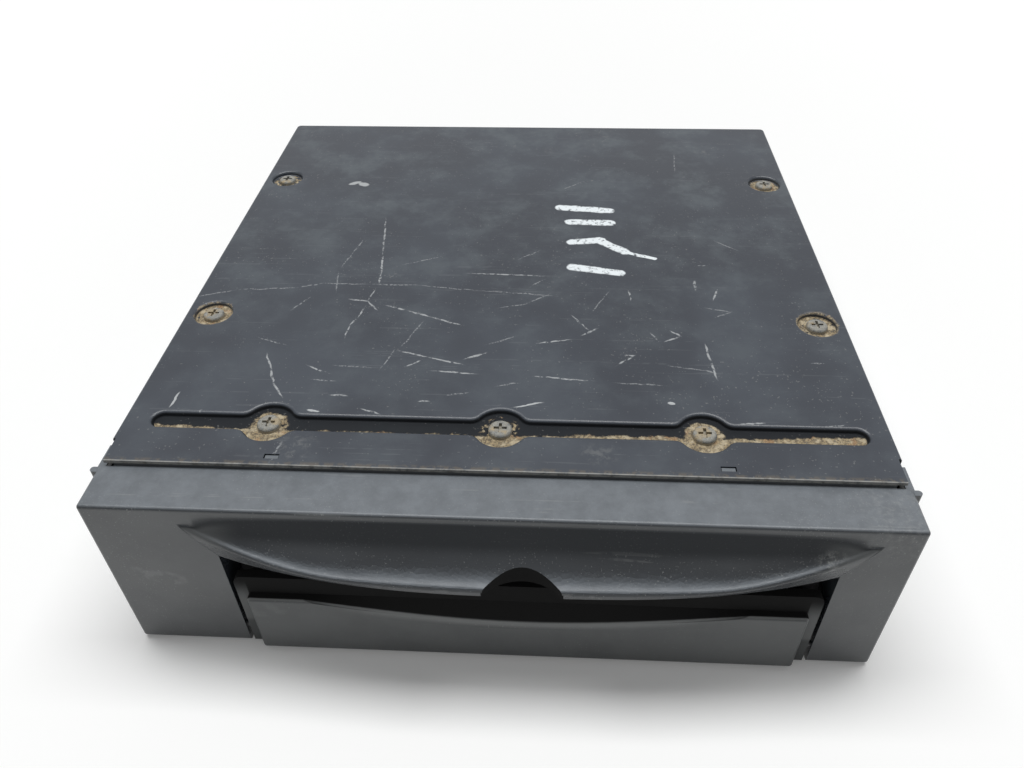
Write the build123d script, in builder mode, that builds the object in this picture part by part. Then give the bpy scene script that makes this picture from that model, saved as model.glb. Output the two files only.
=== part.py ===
from build123d import *
from math import acos, atan2, cos, degrees, hypot, pi, radians, sin, sqrt, tan
import os

# Slot-loading navigation disc player in a one-DIN case, millimetres.
# Origin: centre of the chassis underside. X to the right, Y to the back, Z up.

# Case
CASE_WIDTH = 178.0
CASE_DEPTH = 179.4
CASE_HEIGHT = 51.6
COVER_SHEET = 0.8
CHASSIS_SHEET = 1.0
COVER_FIT = 0.1
SKIRT_DEPTH = 13.0
PRESS_DEPTH = 1.4
SCREW_FLANGE = 12.0
CROSSBAR_DEPTH = 13.5

# Pressed groove and dimples of the cover, measured from its front edge
GROOVE_SETBACK = 13.85
GROOVE_INSET = 6.1
GROOVE_LENGTH = CASE_WIDTH - 2 * GROOVE_INSET
GROOVE_WIDTH = 4.6
BULGE_RADIUS = 6.0
BULGE_BLEND = 3.0
DIMPLE_RADIUS = 5.0
PRESS_RIM = 0.9
PRESS_FOOT = 0.4
GROOVE_SCREW_X = (-54.4, 0.0, 46.9)
SIDE_SCREW_INSET = 7.4
SIDE_SCREW_X = CASE_WIDTH / 2 - SIDE_SCREW_INSET
SIDE_SCREW_SETBACKS = (56.3, 135.3)
LATCH_SPACING = 101.2
LATCH_SETBACK = 2.65
LATCH_WIDTH = 3.4
LATCH_LENGTH = 1.4

# Fascia
FASCIA_OVERHANG = 0.7
FASCIA_TOP_DROP = 1.6
FASCIA_BOTTOM = 0.6
FASCIA_DEPTH = 12.1
FASCIA_WIDTH = CASE_WIDTH + 2 * FASCIA_OVERHANG
FASCIA_HEIGHT = CASE_HEIGHT - FASCIA_TOP_DROP - FASCIA_BOTTOM
FASCIA_WALL = 2.2
FASCIA_JOINT = 0.2
FASCIA_EDGE = 0.9
RIM_WIDTH = 1.5
RIM_PROUD = 1.6
ARM_LENGTH = 6.6
ARM_PROUD = 0.9
OPENING_CENTRE = 6.4
CHEEK_INSET = 20.6
OPENING_WIDTH = CASE_WIDTH - 2 * CHEEK_INSET
OPENING_TOP = 34.8
JAMB_DEPTH = 7.1

# Hood over the opening
HOOD_OVERLAP = 7.4
HOOD_HALF_WIDTH = OPENING_WIDTH / 2 + HOOD_OVERLAP
HOOD_REACH = 8.5
HOOD_LIP_REACH = 8.3
HOOD_LIP_OVERLAP = 0.3
HOOD_LIP_HALF_WIDTH = OPENING_WIDTH / 2 + HOOD_LIP_OVERLAP
HOOD_CREST = 36.9
HOOD_TIP_DROP = 4.2
HOOD_TIP_RISE = FASCIA_BOTTOM + FASCIA_HEIGHT - HOOD_TIP_DROP - HOOD_CREST
HOOD_FLAT_HALF_WIDTH = 42.0
HOOD_STATIONS = (16.0, 32.0, 44.0, 54.0, 62.0, 68.0, 72.5, 76.4)
HOOD_STATIONS_REACH = 75.8
HOOD_TOP_DROP = 1.2
HOOD_NOSE = 0.9
NOTCH_RADIUS = 10.6
NOTCH_DEPTH = 4.1

# Flap
FLAP_SIDE_GAP = 1.0
FLAP_BOTTOM = 1.1
FLAP_HEIGHT = 25.8
FLAP_PLATE = 2.2
FLAP_CORNER = 2.5
PANEL_PROUD = 2.2
PANEL_MARGIN = 2.75
PANEL_HEIGHT = 20.1
PANEL_EDGE = 1.0
SCOOP_DEPTH = 6.4
SCOOP_HALF_WIDTH = 52.0
BEVEL_DEPTH = 0.5
BEVEL_DROP = 1.6
HINGE_INSET = 1.3
HINGE_HEIGHT = 6.3
HINGE_PIN_RADIUS = 0.8
HINGE_PIN_ENGAGED = 4.0
HINGE_PIN_BURIED = 6.0
FLAP_TRAVEL = 90.0

# Inner front with the disc slot
BEZEL_THICK = 2.0
BEZEL_OVERLAP = 8.6
BEZEL_BOTTOM = 1.2
BEZEL_TOP = 38.0
DISC_RADIUS = 60.0
DISC_THICK = 1.2
DISC_PLANE = 30.2
SLOT_CLEAR = 2.0
SLOT_HEIGHT = 5.4
FELT_THICK = 0.5
BUTTON_X = 54.0
BUTTON_Z = 11.0
BUTTON_WIDTH = 12.0
BUTTON_HEIGHT = 6.0
BUTTON_TRAVEL = 0.8
BUTTON_PROUD = 0.8
LIGHT_X = 38.0
FRONT_BOARD_GAP = 4.2

# Clearances and fasteners
RUNNING_FIT = 0.05
LOOSE_FIT = 0.2
COVER_SCREW_RADIUS = 1.5
COVER_SCREW_HEAD = 2.8
COVER_SCREW_HEAD_HEIGHT = 1.3
SMALL_SCREW_RADIUS = 1.0
SMALL_SCREW_HEAD = 1.9
BOARD_SCREW_RADIUS = 1.25
BRACKET_HOLE_RADIUS = 2.1
BRACKET_SPACING_Y = 60.0
BRACKET_SPACING_Z = 18.0
BRACKET_CENTRE_Y = -15.0
BRACKET_CENTRE_Z = 20.0

# Drive frame, hung on four soft grommets
DECK_HEIGHT = 17.0
DECK_SHEET = 1.0
DECK_SIDE = 1.0
DECK_WALL_TOP = 39.0
DECK_FRONT_GAP = 1.7
DECK_LENGTH = 138.0
DECK_HALF_WIDTH = 65.0
SPINDLE_SETBACK = 62.7
GROMMET_X = 56.0
GROMMET_SETBACKS = (36.0, 128.0)
GROMMET_RADIUS = 6.0
POST_RADIUS = 3.2

# Disc loading
ROLLER_SETBACK = 4.7
ROLLER_SHAFT_RADIUS = 1.5
ROLLER_END_RADIUS = 3.4
ROLLER_MID_RADIUS = 2.9
ROLLER_HALF_LENGTH = 60.0
GEAR_MODULE = 0.5
PRESSURE_ANGLE = 25.0
BACKLASH = 0.12
ROLLER_TEETH = 24
IDLER_SMALL_TEETH = 12
IDLER_LARGE_TEETH = 32
PINION_TEETH = 10
GEAR_WIDTH = 2.2
GEAR_GAP = 0.3
LOADING_MOTOR = (15.5, 12.0, 10.0)
LOADING_AXIS_Z = 24.0

# Spindle and pickup
STATOR_RADIUS = 11.0
ROTOR_RADIUS = 13.0
TURNTABLE_RADIUS = 14.5
SPINDLE_RADIUS = 1.5
HUB_RADIUS = 7.3
DISC_INNER_TRACK = 24.5
SLED_TRAVEL = 34.0
SLED_LENGTH = 21.0
SLED_HALF_WIDTH = 17.0
ROD_RADIUS = 1.5
ROD_X = 24.0
ROD_HEIGHT = 22.0
RACK_X = 31.6
LENS_TRAVEL = 0.5
HOLDER_LENGTH = 8.4
SLED_SMALL_TEETH = 14
SLED_LARGE_TEETH = 40
SLED_GEAR_SETBACK = 29.0
SLED_PINION_ANGLE = 210.0

# Clamping
ARM_SHEET = 1.0
ARM_PLANE = 36.2
ARM_PIVOT_SETBACK = 73.0
ARM_PIVOT_Z = 34.2
ARM_LIFT = 2.4
CAM_PIN_ARM = 30.0
CAM_TRAVEL = 10.0
CAM_PIN_RADIUS = 1.0
CLAMPER_RADIUS = 14.0
CLAMPER_HUB_RADIUS = 11.5
LEVER_PIVOT_X = 57.0
LEVER_PIVOT_SETBACK = 30.0
LEVER_PIN_X = 45.0
LEVER_PIN_SETBACK = 13.0
LEVER_SWING = 45.0

# Electronics
BOARD_HEIGHT = 5.0
BOARD_THICK = 1.6
BOARD_SIDE_GAP = 7.0
BOARD_HALF_WIDTH = CASE_WIDTH / 2 - BOARD_SIDE_GAP
BOARD_FRONT_GAP = 19.7
BOARD_REAR_GAP = 1.8
STANDOFF_INSET = 5.0
STANDOFF_MIDDLE_X = 8.0
STANDOFF_FRONT = 8.0
STANDOFF_REAR = 22.0
VENT_WALL_GAP = 7.1
SIDE_VENT_REAR_GAP = 55.8
MODULE_POST_GAP = 12.0
MODULE_ANTENNA_GAP = 3.8
ANTENNA_BODY_DEPTH = 12.0
CONNECTOR_FIT = 0.4

# Places worked out from the sizes above
half_width = CASE_WIDTH / 2
case_front = -CASE_DEPTH / 2
case_rear = CASE_DEPTH / 2
cover_under = CASE_HEIGHT - COVER_SHEET
flange_top = cover_under - PRESS_DEPTH
wall_outer = half_width - COVER_SHEET - COVER_FIT
wall_inner = wall_outer - CHASSIS_SHEET
rear_outer = case_rear - COVER_SHEET - COVER_FIT
rear_inner = rear_outer - CHASSIS_SHEET
groove_y = case_front + GROOVE_SETBACK
side_screw_ys = tuple(case_front + setback for setback in SIDE_SCREW_SETBACKS)
cover_screw_places = [(x, groove_y) for x in GROOVE_SCREW_X]
cover_screw_places += [(x, y) for x in (-SIDE_SCREW_X, SIDE_SCREW_X) for y in side_screw_ys]

fascia_rear = case_front - FASCIA_JOINT
fascia_front = fascia_rear - FASCIA_DEPTH
fascia_top = FASCIA_BOTTOM + FASCIA_HEIGHT
fascia_half = FASCIA_WIDTH / 2
cx = OPENING_CENTRE
opening_half = OPENING_WIDTH / 2
flap_half = opening_half - FLAP_SIDE_GAP
panel_half = flap_half - PANEL_MARGIN
panel_top = FLAP_BOTTOM + PANEL_HEIGHT
hinge_y = fascia_front + HINGE_INSET

bezel_front = fascia_front + JAMB_DEPTH + 0.1
bezel_rear = bezel_front + BEZEL_THICK
slot_half = DISC_RADIUS + SLOT_CLEAR
slot_middle = DISC_PLANE + DISC_THICK / 2
front_board_face = bezel_rear + FRONT_BOARD_GAP

deck_front = case_front + DECK_FRONT_GAP
deck_rear = deck_front + DECK_LENGTH
deck_top = DECK_HEIGHT + DECK_SHEET
deck_inner = DECK_HALF_WIDTH - DECK_SIDE
spindle_y = case_front + SPINDLE_SETBACK
grommet_ys = tuple(deck_front + setback for setback in GROMMET_SETBACKS)
sled_gear_y = spindle_y + SLED_GEAR_SETBACK
arm_pivot_y = spindle_y + ARM_PIVOT_SETBACK
lever_pivot_y = deck_front + LEVER_PIVOT_SETBACK
lever_pin_y = deck_front + LEVER_PIN_SETBACK
board_front = case_front + BOARD_FRONT_GAP
board_rear = rear_inner - BOARD_REAR_GAP
roller_y = case_front + ROLLER_SETBACK
roller_z = DISC_PLANE - 0.1 - ROLLER_END_RADIUS
disc_top = DISC_PLANE + DISC_THICK


def write(piece, name):
    """Label a finished piece and write it as a STEP file."""
    piece.part.label = name
    export_step(piece.part, f"parts/{name}.step")


def block(x, y, z, mode=Mode.ADD):
    """A box between two limits on each axis."""
    with Locations(((x[0] + x[1]) / 2, (y[0] + y[1]) / 2, (z[0] + z[1]) / 2)):
        Box(x[1] - x[0], y[1] - y[0], z[1] - z[0], mode=mode)


def rod_z(radius, x, y, z, mode=Mode.ADD):
    """An upright round bar or hole between two heights."""
    with Locations((x, y, (z[0] + z[1]) / 2)):
        Cylinder(radius, z[1] - z[0], mode=mode)


def rod_y(radius, x, y, z, mode=Mode.ADD):
    """A round bar or hole along Y."""
    with Locations((x, (y[0] + y[1]) / 2, z)):
        Cylinder(radius, y[1] - y[0], rotation=(90, 0, 0), mode=mode)


def rod_x(radius, x, y, z, mode=Mode.ADD):
    """A round bar or hole along X."""
    with Locations(((x[0] + x[1]) / 2, y, z)):
        Cylinder(radius, x[1] - x[0], rotation=(0, 90, 0), mode=mode)


def pressed_outline(height, grow):
    """Outline of the groove with its three bulges, grown outwards by a distance."""
    with BuildSketch(Plane.XY.offset(height)) as outline:
        with Locations((0.7, groove_y)):
            SlotOverall(GROOVE_LENGTH + 2 * grow, GROOVE_WIDTH + 2 * grow)
        for x in GROOVE_SCREW_X:
            with Locations((x, groove_y)):
                Circle(BULGE_RADIUS + grow)
        waists = outline.vertices().filter_by(
            lambda v: min(abs(v.X - x) for x in GROOVE_SCREW_X) < BULGE_RADIUS + grow)
        fillet(waists, BULGE_BLEND - grow)
    return outline.sketch


def cross_recess(radius, x, y, top, depth):
    """Cross-shaped driver recess sunk into a screw head."""
    arm = radius * 0.55
    web = radius * 0.13
    block((x - arm, x + arm), (y - web, y + web), (top - depth, top + 0.1), Mode.SUBTRACT)
    block((x - web, x + web), (y - arm, y + arm), (top - depth, top + 0.1), Mode.SUBTRACT)


def involute(angle):
    return tan(angle) - angle


def gear_outline(teeth, phase):
    """Involute spur profile about the local origin, with a tooth at the phase angle."""
    pitch = GEAR_MODULE * teeth / 2
    base = pitch * cos(radians(PRESSURE_ANGLE))
    tip = pitch + 0.8 * GEAR_MODULE
    root = pitch - 1.05 * GEAR_MODULE
    half_tooth = (pi * GEAR_MODULE / 2 - BACKLASH / 2) / (2 * pitch)
    start = max(base, root)
    flank = []
    for step in range(4):
        radius = start + (tip - start) * step / 3
        swing = half_tooth + involute(radians(PRESSURE_ANGLE)) - involute(acos(min(1, base / radius)))
        flank.append((radius, swing))
    if root < base:
        flank.insert(0, (root, flank[0][1]))
    points = []
    for tooth in range(teeth):
        middle = radians(phase) + 2 * pi * tooth / teeth
        points += [(r * cos(middle - swing), r * sin(middle - swing)) for r, swing in flank]
        points += [(r * cos(middle + swing), r * sin(middle + swing)) for r, swing in reversed(flank)]
    with BuildSketch() as outline:
        with BuildLine():
            Polyline(*points, close=True)
        make_face()
    return outline.sketch


def mesh_phase(phase, teeth, direction, next_teeth):
    """Phase of the next gear so that its gap meets this gear's tooth along a direction."""
    pitch_angle = 360 / teeth
    offset = (phase - direction) % pitch_angle
    return direction + 180 - offset * teeth / next_teeth - 180 / next_teeth


def hood_section(x):
    """Section of the hood across the front, from its foot on the top band round to its lip."""
    s = abs(x - cx)
    reach = HOOD_REACH * (1 - (s / HOOD_HALF_WIDTH) ** 3)
    lip_reach = HOOD_LIP_REACH * (1 - (s / HOOD_LIP_HALF_WIDTH) ** 2.7)
    spread = max(0, s - HOOD_FLAT_HALF_WIDTH) / (HOOD_HALF_WIDTH - HOOD_FLAT_HALF_WIDTH)
    crest_z = HOOD_CREST + HOOD_TIP_RISE * spread ** 1.5
    start_z = fascia_top - HOOD_TOP_DROP
    foot_z = OPENING_TOP - 5
    drop = crest_z - OPENING_TOP
    back = (reach - lip_reach) / drop
    crest = Vector(fascia_front - reach, crest_z)
    upward = Vector(cos(radians(12)), sin(radians(12)))
    downward = Vector(back, -1).normalized()
    corner = acos(upward.dot(downward))
    nose_radius = HOOD_NOSE * tan(corner / 2)
    upper = crest + upward * HOOD_NOSE
    lower = crest + downward * HOOD_NOSE
    nose = crest + (upward + downward).normalized() * nose_radius * (1 / sin(corner / 2) - 1)
    start = Vector(fascia_front, start_z)
    fall = (start_z - crest_z) * 0.5
    lean = radians(18) * max(0.0, reach) / HOOD_REACH
    pull = max(0.4, 0.42 * reach)
    foot = Vector(crest.X + back * (crest_z - foot_z), foot_z)
    inside = fascia_front + JAMB_DEPTH - 1
    with BuildSketch(Plane.YZ.offset(x)) as section:
        with BuildLine():
            Line((inside, start_z), (start.X, start_z))
            Bezier(
                (start.X, start_z),
                (start.X - fall * sin(lean), start_z - fall * cos(lean)),
                (upper.X + pull * upward.X, upper.Y + pull * upward.Y),
                (upper.X, upper.Y),
            )
            ThreePointArc((upper.X, upper.Y), (nose.X, nose.Y), (lower.X, lower.Y))
            Line((lower.X, lower.Y), (foot.X, foot.Y))
            Line((foot.X, foot.Y), (inside, foot_z))
            Line((inside, foot_z), (inside, start_z))
        make_face()
    return section.sketch


def scoop_section(x):
    """Section of the wedge that dishes the top of the flap's panel."""
    s = x - cx
    dip = SCOOP_DEPTH * (1 - (s / SCOOP_HALF_WIDTH) ** 2)
    facet = BEVEL_DEPTH * (1 - (s / (SCOOP_HALF_WIDTH - 2)) ** 2)
    face = fascia_front - PANEL_PROUD
    edge_z = panel_top + 0.05 - dip
    facet_z = panel_top - SCOOP_DEPTH - BEVEL_DROP + 4.4 * (s / SCOOP_HALF_WIDTH) ** 2
    above = panel_top + 12
    points = [
        (fascia_front + 0.7, above),
        (fascia_front + 0.7, panel_top + 0.05),
        (fascia_front, panel_top + 0.05),
        (face + facet, edge_z),
        (face - 0.02, min(facet_z, edge_z - 0.3)),
        (face - 1.5, min(facet_z, edge_z - 0.3) - 1),
        (face - 1.5, above),
    ]
    with BuildSketch(Plane.YZ.offset(x)) as section:
        with BuildLine():
            Polyline(*points, close=True)
        make_face()
    return section.sketch


# Lower chassis: folded steel tray, open at the front
with BuildPart() as lower_chassis:
    block((-wall_outer, wall_outer), (case_front, rear_outer), (0, flange_top))
    uprights = lower_chassis.edges().filter_by(Axis.Z).group_by(Axis.Y)[-1]
    fillet(uprights, 1.2)
    fillet(lower_chassis.faces().sort_by(Axis.Z)[0].edges().filter_by(Axis.Y), 0.9)
    block(
        (-wall_inner, wall_inner),
        (case_front - 1, rear_inner),
        (CHASSIS_SHEET, flange_top + 1),
        Mode.SUBTRACT,
    )
    for side in (-1, 1):
        inner = side * (wall_outer - SCREW_FLANGE)
        outer = side * (wall_inner + 0.2)
        block(
            (min(inner, outer), max(inner, outer)),
            (groove_y + CROSSBAR_DEPTH / 2 + 0.6, rear_inner),
            (flange_top - CHASSIS_SHEET, flange_top),
        )
        for y in side_screw_ys:
            rod_z(
                COVER_SCREW_RADIUS,
                side * SIDE_SCREW_X,
                y,
                (flange_top - 2, flange_top + 1),
                Mode.SUBTRACT,
            )
        # Drawn collars that carry the bracket threads
        for dy in (-BRACKET_SPACING_Y / 2, BRACKET_SPACING_Y / 2):
            for dz in (-BRACKET_SPACING_Z / 2, BRACKET_SPACING_Z / 2):
                y = BRACKET_CENTRE_Y + dy
                z = BRACKET_CENTRE_Z + dz
                ends = sorted((side * (wall_inner + 0.3), side * (wall_inner - 1.5)))
                rod_x(BRACKET_HOLE_RADIUS + 1.1, ends, y, z)
                ends = sorted((side * (wall_outer + 1), side * (wall_inner - 3)))
                rod_x(BRACKET_HOLE_RADIUS, ends, y, z, Mode.SUBTRACT)
        # Cooling slots in the side walls
        ends = sorted((side * (wall_outer + 1), side * (wall_inner - 1)))
        for slot in range(9):
            y = rear_inner - SIDE_VENT_REAR_GAP + slot * 5.5
            block(ends, (y - 1.1, y + 1.1), (12, 30), Mode.SUBTRACT)
    # Cooling slots in the back wall
    for slot in range(12):
        x = -wall_inner + VENT_WALL_GAP + slot * 4.2
        block((x - 0.9, x + 0.9), (rear_inner - 1, rear_outer + 1), (28, 37), Mode.SUBTRACT)
    # Beads pressed up into the floor
    for x in (-38.0, 38.0):
        with BuildSketch(Plane.XY.offset(CHASSIS_SHEET - 0.3)):
            with Locations((x, -5)):
                SlotOverall(120, 8, rotation=90)
        extrude(amount=0.9)
        with BuildSketch(Plane.XY):
            with Locations((x, -5)):
                SlotOverall(118, 6, rotation=90)
        extrude(amount=0.6, mode=Mode.SUBTRACT)

    # Openings for the sockets in the back wall
    power_x = (20.0, 62.0)
    power_z = (BOARD_HEIGHT + BOARD_THICK, BOARD_HEIGHT + BOARD_THICK + 17.0)
    av_x = (-32.0, 4.0)
    av_z = (BOARD_HEIGHT + BOARD_THICK, BOARD_HEIGHT + BOARD_THICK + 10.0)
    antenna_x = -58.0
    antenna_z = BOARD_HEIGHT + BOARD_THICK + 7.0
    antenna_radius = 5.0
    for x, z in ((power_x, power_z), (av_x, av_z)):
        block(
            (x[0] - CONNECTOR_FIT, x[1] + CONNECTOR_FIT),
            (rear_inner - 1, rear_outer + 1),
            (z[0] - CONNECTOR_FIT, z[1] + CONNECTOR_FIT),
            Mode.SUBTRACT,
        )
    rod_y(
        antenna_radius + CONNECTOR_FIT,
        antenna_x,
        (rear_inner - 1, rear_outer + 1),
        antenna_z,
        Mode.SUBTRACT,
    )

    # Holes for the swaged posts and standoffs
    grommet_places = [(cx + side * GROMMET_X, y) for side in (-1, 1) for y in grommet_ys]
    for x, y in grommet_places:
        rod_z(POST_RADIUS - 0.8, x, y, (-1, CHASSIS_SHEET + 1), Mode.SUBTRACT)
    standoff_x = BOARD_HALF_WIDTH - STANDOFF_INSET
    standoff_ys = (board_front + STANDOFF_FRONT, board_rear - STANDOFF_REAR)
    standoff_places = [(x, y) for x in (-standoff_x, STANDOFF_MIDDLE_X, standoff_x) for y in standoff_ys]
    for x, y in standoff_places:
        rod_z(2.0, x, y, (-1, CHASSIS_SHEET + 1), Mode.SUBTRACT)
write(lower_chassis, "lower_chassis")

# Front crossbar under the cover's groove, with ends folded down inside the walls
with BuildPart() as front_crossbar:
    bar_y = (groove_y - CROSSBAR_DEPTH / 2, groove_y + CROSSBAR_DEPTH / 2)
    fold_bottom = (flange_top + DECK_WALL_TOP + DECK_SHEET) / 2 - 0.3
    block((-wall_inner, wall_inner), bar_y, (flange_top - CHASSIS_SHEET, flange_top))
    for side in (-1, 1):
        ends = sorted((side * wall_inner, side * (wall_inner - CHASSIS_SHEET)))
        block(ends, bar_y, (flange_top - 14, flange_top))
    block(
        (-wall_inner + 6, wall_inner - 6),
        (bar_y[1] - CHASSIS_SHEET, bar_y[1]),
        (fold_bottom, flange_top),
    )
    for x in GROOVE_SCREW_X:
        rod_z(
            COVER_SCREW_RADIUS,
            x,
            groove_y,
            (flange_top - 2, flange_top + 1),
            Mode.SUBTRACT,
        )
write(front_crossbar, "front_crossbar")

# Top cover: folded sheet with skirts on three sides
with BuildPart() as top_cover:
    block((-half_width, half_width), (case_front, case_rear), (CASE_HEIGHT - SKIRT_DEPTH, CASE_HEIGHT))
    fillet(top_cover.edges().filter_by(Axis.Z).group_by(Axis.Y)[-1], 1.6)
    fillet(
        top_cover.edges().filter_by(Axis.Y).group_by(Axis.Z)[-1]
        + top_cover.edges().filter_by(Axis.X).group_by(Axis.Z)[-1].group_by(Axis.Y)[-1],
        0.7,
    )
    block(
        (-half_width + COVER_SHEET, half_width - COVER_SHEET),
        (case_front - 1, case_rear - COVER_SHEET),
        (CASE_HEIGHT - SKIRT_DEPTH - 1, cover_under),
        Mode.SUBTRACT,
    )
    # Skirts and corners set back at the front beside the fascia's arms
    for side in (-1, 1):
        ends = sorted((side * (half_width + 1), side * (half_width - COVER_SHEET - 0.1)))
        block(
            ends,
            (case_front - 1, case_front + ARM_LENGTH + 0.5),
            (CASE_HEIGHT - SKIRT_DEPTH - 1, CASE_HEIGHT + 1),
            Mode.SUBTRACT,
        )
    # Dimples and groove pushed down until they rest on the flanges
    wall = 0.6
    for x, y in cover_screw_places[3:]:
        rod_z(DIMPLE_RADIUS + wall, x, y, (flange_top, cover_under + 0.2))
    add(extrude(pressed_outline(flange_top, wall), PRESS_DEPTH + 0.2, mode=Mode.PRIVATE))
    for x, y in cover_screw_places[3:]:
        rod_z(DIMPLE_RADIUS, x, y, (CASE_HEIGHT - PRESS_DEPTH, CASE_HEIGHT + 1), Mode.SUBTRACT)
    add(
        extrude(pressed_outline(CASE_HEIGHT - PRESS_DEPTH, 0), PRESS_DEPTH + 1, mode=Mode.PRIVATE),
        mode=Mode.SUBTRACT,
    )
    rims = top_cover.faces().filter_by(Axis.Z).sort_by(Axis.Z)[-1].inner_wires()
    fillet([edge for wire in rims for edge in wire.edges()], PRESS_RIM)
    feet = top_cover.faces().filter_by(Axis.Z).filter_by(
        lambda f: abs(f.center().Z - (CASE_HEIGHT - PRESS_DEPTH)) < 0.01)
    fillet(feet.edges(), PRESS_FOOT)
    for x, y in cover_screw_places:
        rod_z(COVER_SCREW_RADIUS + 0.3, x, y, (flange_top - 1, CASE_HEIGHT), Mode.SUBTRACT)
    for side in (-1, 1):
        x = side * LATCH_SPACING / 2
        y = case_front + LATCH_SETBACK
        block(
            (x - LATCH_WIDTH / 2, x + LATCH_WIDTH / 2),
            (y - LATCH_LENGTH / 2, y + LATCH_LENGTH / 2),
            (cover_under - 1, CASE_HEIGHT + 1),
            Mode.SUBTRACT,
        )
write(top_cover, "top_cover")

# Cover screws: pan heads with a cross recess
screw_seat = CASE_HEIGHT - PRESS_DEPTH
with BuildPart() as cover_screws:
    for x, y in cover_screw_places:
        rod_z(COVER_SCREW_RADIUS, x, y, (flange_top - 4, screw_seat))
        rod_z(COVER_SCREW_HEAD, x, y, (screw_seat, screw_seat + COVER_SCREW_HEAD_HEIGHT))
    crowns = cover_screws.faces().filter_by(Axis.Z).group_by(Axis.Z)[-1]
    fillet(crowns.edges(), COVER_SCREW_HEAD_HEIGHT * 0.6)
    for x, y in cover_screw_places:
        cross_recess(COVER_SCREW_HEAD, x, y, screw_seat + COVER_SCREW_HEAD_HEIGHT, 0.9)
write(cover_screws, "cover_screws")

# Fascia
with BuildPart() as fascia:
    block(
        (-fascia_half, fascia_half),
        (fascia_front, fascia_rear),
        (FASCIA_BOTTOM, fascia_top),
    )
    front_edges = fascia.faces().sort_by(Axis.Y)[0].edges()
    fillet(front_edges + fascia.edges().filter_by(Axis.Y), FASCIA_EDGE)
    station_scale = HOOD_HALF_WIDTH / HOOD_STATIONS_REACH
    stations = [cx + side * s * station_scale for side in (-1, 1) for s in HOOD_STATIONS]
    stations = sorted(stations + [cx])
    hood = loft([hood_section(x) for x in stations], mode=Mode.PRIVATE)
    add(hood)
    # Finger notch in the middle of the lip
    rod_z(
        NOTCH_RADIUS,
        cx,
        fascia_front - NOTCH_DEPTH - NOTCH_RADIUS,
        (OPENING_TOP - 8, fascia_top - 2),
        Mode.SUBTRACT,
    )
    # Opening, which runs out at the bottom
    block(
        (cx - opening_half, cx + opening_half),
        (fascia_front - HOOD_REACH - 4, fascia_rear + 1),
        (FASCIA_BOTTOM - 1, OPENING_TOP),
        Mode.SUBTRACT,
    )
    # Hollows behind the cheeks and the top band
    top_inside = fascia_top - 2.0
    for x in (
        (-fascia_half + 2.0, cx - opening_half - 2.0),
        (cx + opening_half + 2.0, fascia_half - 2.0),
    ):
        block(
            x,
            (fascia_front + FASCIA_WALL, fascia_rear + 1),
            (FASCIA_BOTTOM + 2.0, top_inside),
            Mode.SUBTRACT,
        )
    block(
        (cx - opening_half - 3, cx + opening_half + 3),
        (fascia_front + FASCIA_WALL, fascia_rear + 1),
        (OPENING_TOP + 2.0, top_inside),
        Mode.SUBTRACT,
    )
    # Room for the inner front behind the jambs
    block(
        (cx - opening_half - BEZEL_OVERLAP - 0.3, cx + opening_half + BEZEL_OVERLAP + 0.3),
        (fascia_front + JAMB_DEPTH, fascia_rear + 1),
        (FASCIA_BOTTOM - 1, OPENING_TOP + 4),
        Mode.SUBTRACT,
    )
    bezel_screw_places = [
        (cx + side * (opening_half + BEZEL_OVERLAP - 3.2), z) for side in (-1, 1) for z in (14.0, 30.0)
    ]
    for x, z in bezel_screw_places:
        rod_y(2.6, x, (fascia_front + FASCIA_WALL - 0.3, fascia_front + JAMB_DEPTH), z)
        rod_y(SMALL_SCREW_RADIUS, x, (fascia_front + FASCIA_WALL + 1, fascia_rear), z, Mode.SUBTRACT)
    # Hinge bosses in the jambs
    for side in (-1, 1):
        ends = sorted((cx + side * opening_half, cx + side * (opening_half + HINGE_PIN_ENGAGED + 1.5)))
        block(
            ends,
            (fascia_front + 1.0, fascia_front + HINGE_INSET + 3.5),
            (FASCIA_BOTTOM + 1.0, HINGE_HEIGHT + 3.5),
        )
        ends = sorted((cx + side * (opening_half - 1), cx + side * (opening_half + HINGE_PIN_ENGAGED)))
        rod_x(HINGE_PIN_RADIUS + RUNNING_FIT, ends, hinge_y, HINGE_HEIGHT, Mode.SUBTRACT)
    # Rim that stands proud at both sides of the back edge
    for side in (-1, 1):
        ends = sorted((side * (fascia_half - 1), side * (fascia_half + RIM_PROUD)))
        with BuildSketch(Plane.XY.offset(FASCIA_BOTTOM + 0.6)):
            with Locations((sum(ends) / 2, fascia_rear - RIM_WIDTH / 2)):
                RectangleRounded(ends[1] - ends[0], RIM_WIDTH, RIM_WIDTH / 2 - 0.05)
        extrude(amount=FASCIA_HEIGHT - 1.0)
    # Side arms that lie against the chassis walls
    for side in (-1, 1):
        ends = sorted((side * (wall_outer + 0.05), side * (half_width + ARM_PROUD)))
        block(ends, (fascia_rear - 1.5, case_front + ARM_LENGTH), (FASCIA_BOTTOM + 3, fascia_top - 0.4))
    # Tongue and latch hooks under the cover's front edge
    tongue_top = cover_under - 0.1
    hook_y = case_front + LATCH_SETBACK
    tongue_x = (-wall_inner + 1, wall_inner - 1)
    tongue_y = (case_front + 0.1, hook_y + 2.2)
    block(tongue_x, (fascia_rear - 1.9, tongue_y[1]), (tongue_top - 1.6, fascia_top - 0.05))
    block(tongue_x, tongue_y, (tongue_top - 1.6, tongue_top))
    for side in (-1, 1):
        x = side * LATCH_SPACING / 2
        block(
            (x - LATCH_WIDTH / 2 + 0.2, x + LATCH_WIDTH / 2 - 0.2),
            (hook_y - LATCH_LENGTH / 2 + 0.15, hook_y + LATCH_LENGTH / 2 - 0.15),
            (tongue_top - 0.5, cover_under + 0.5),
        )
write(fascia, "fascia")

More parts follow.
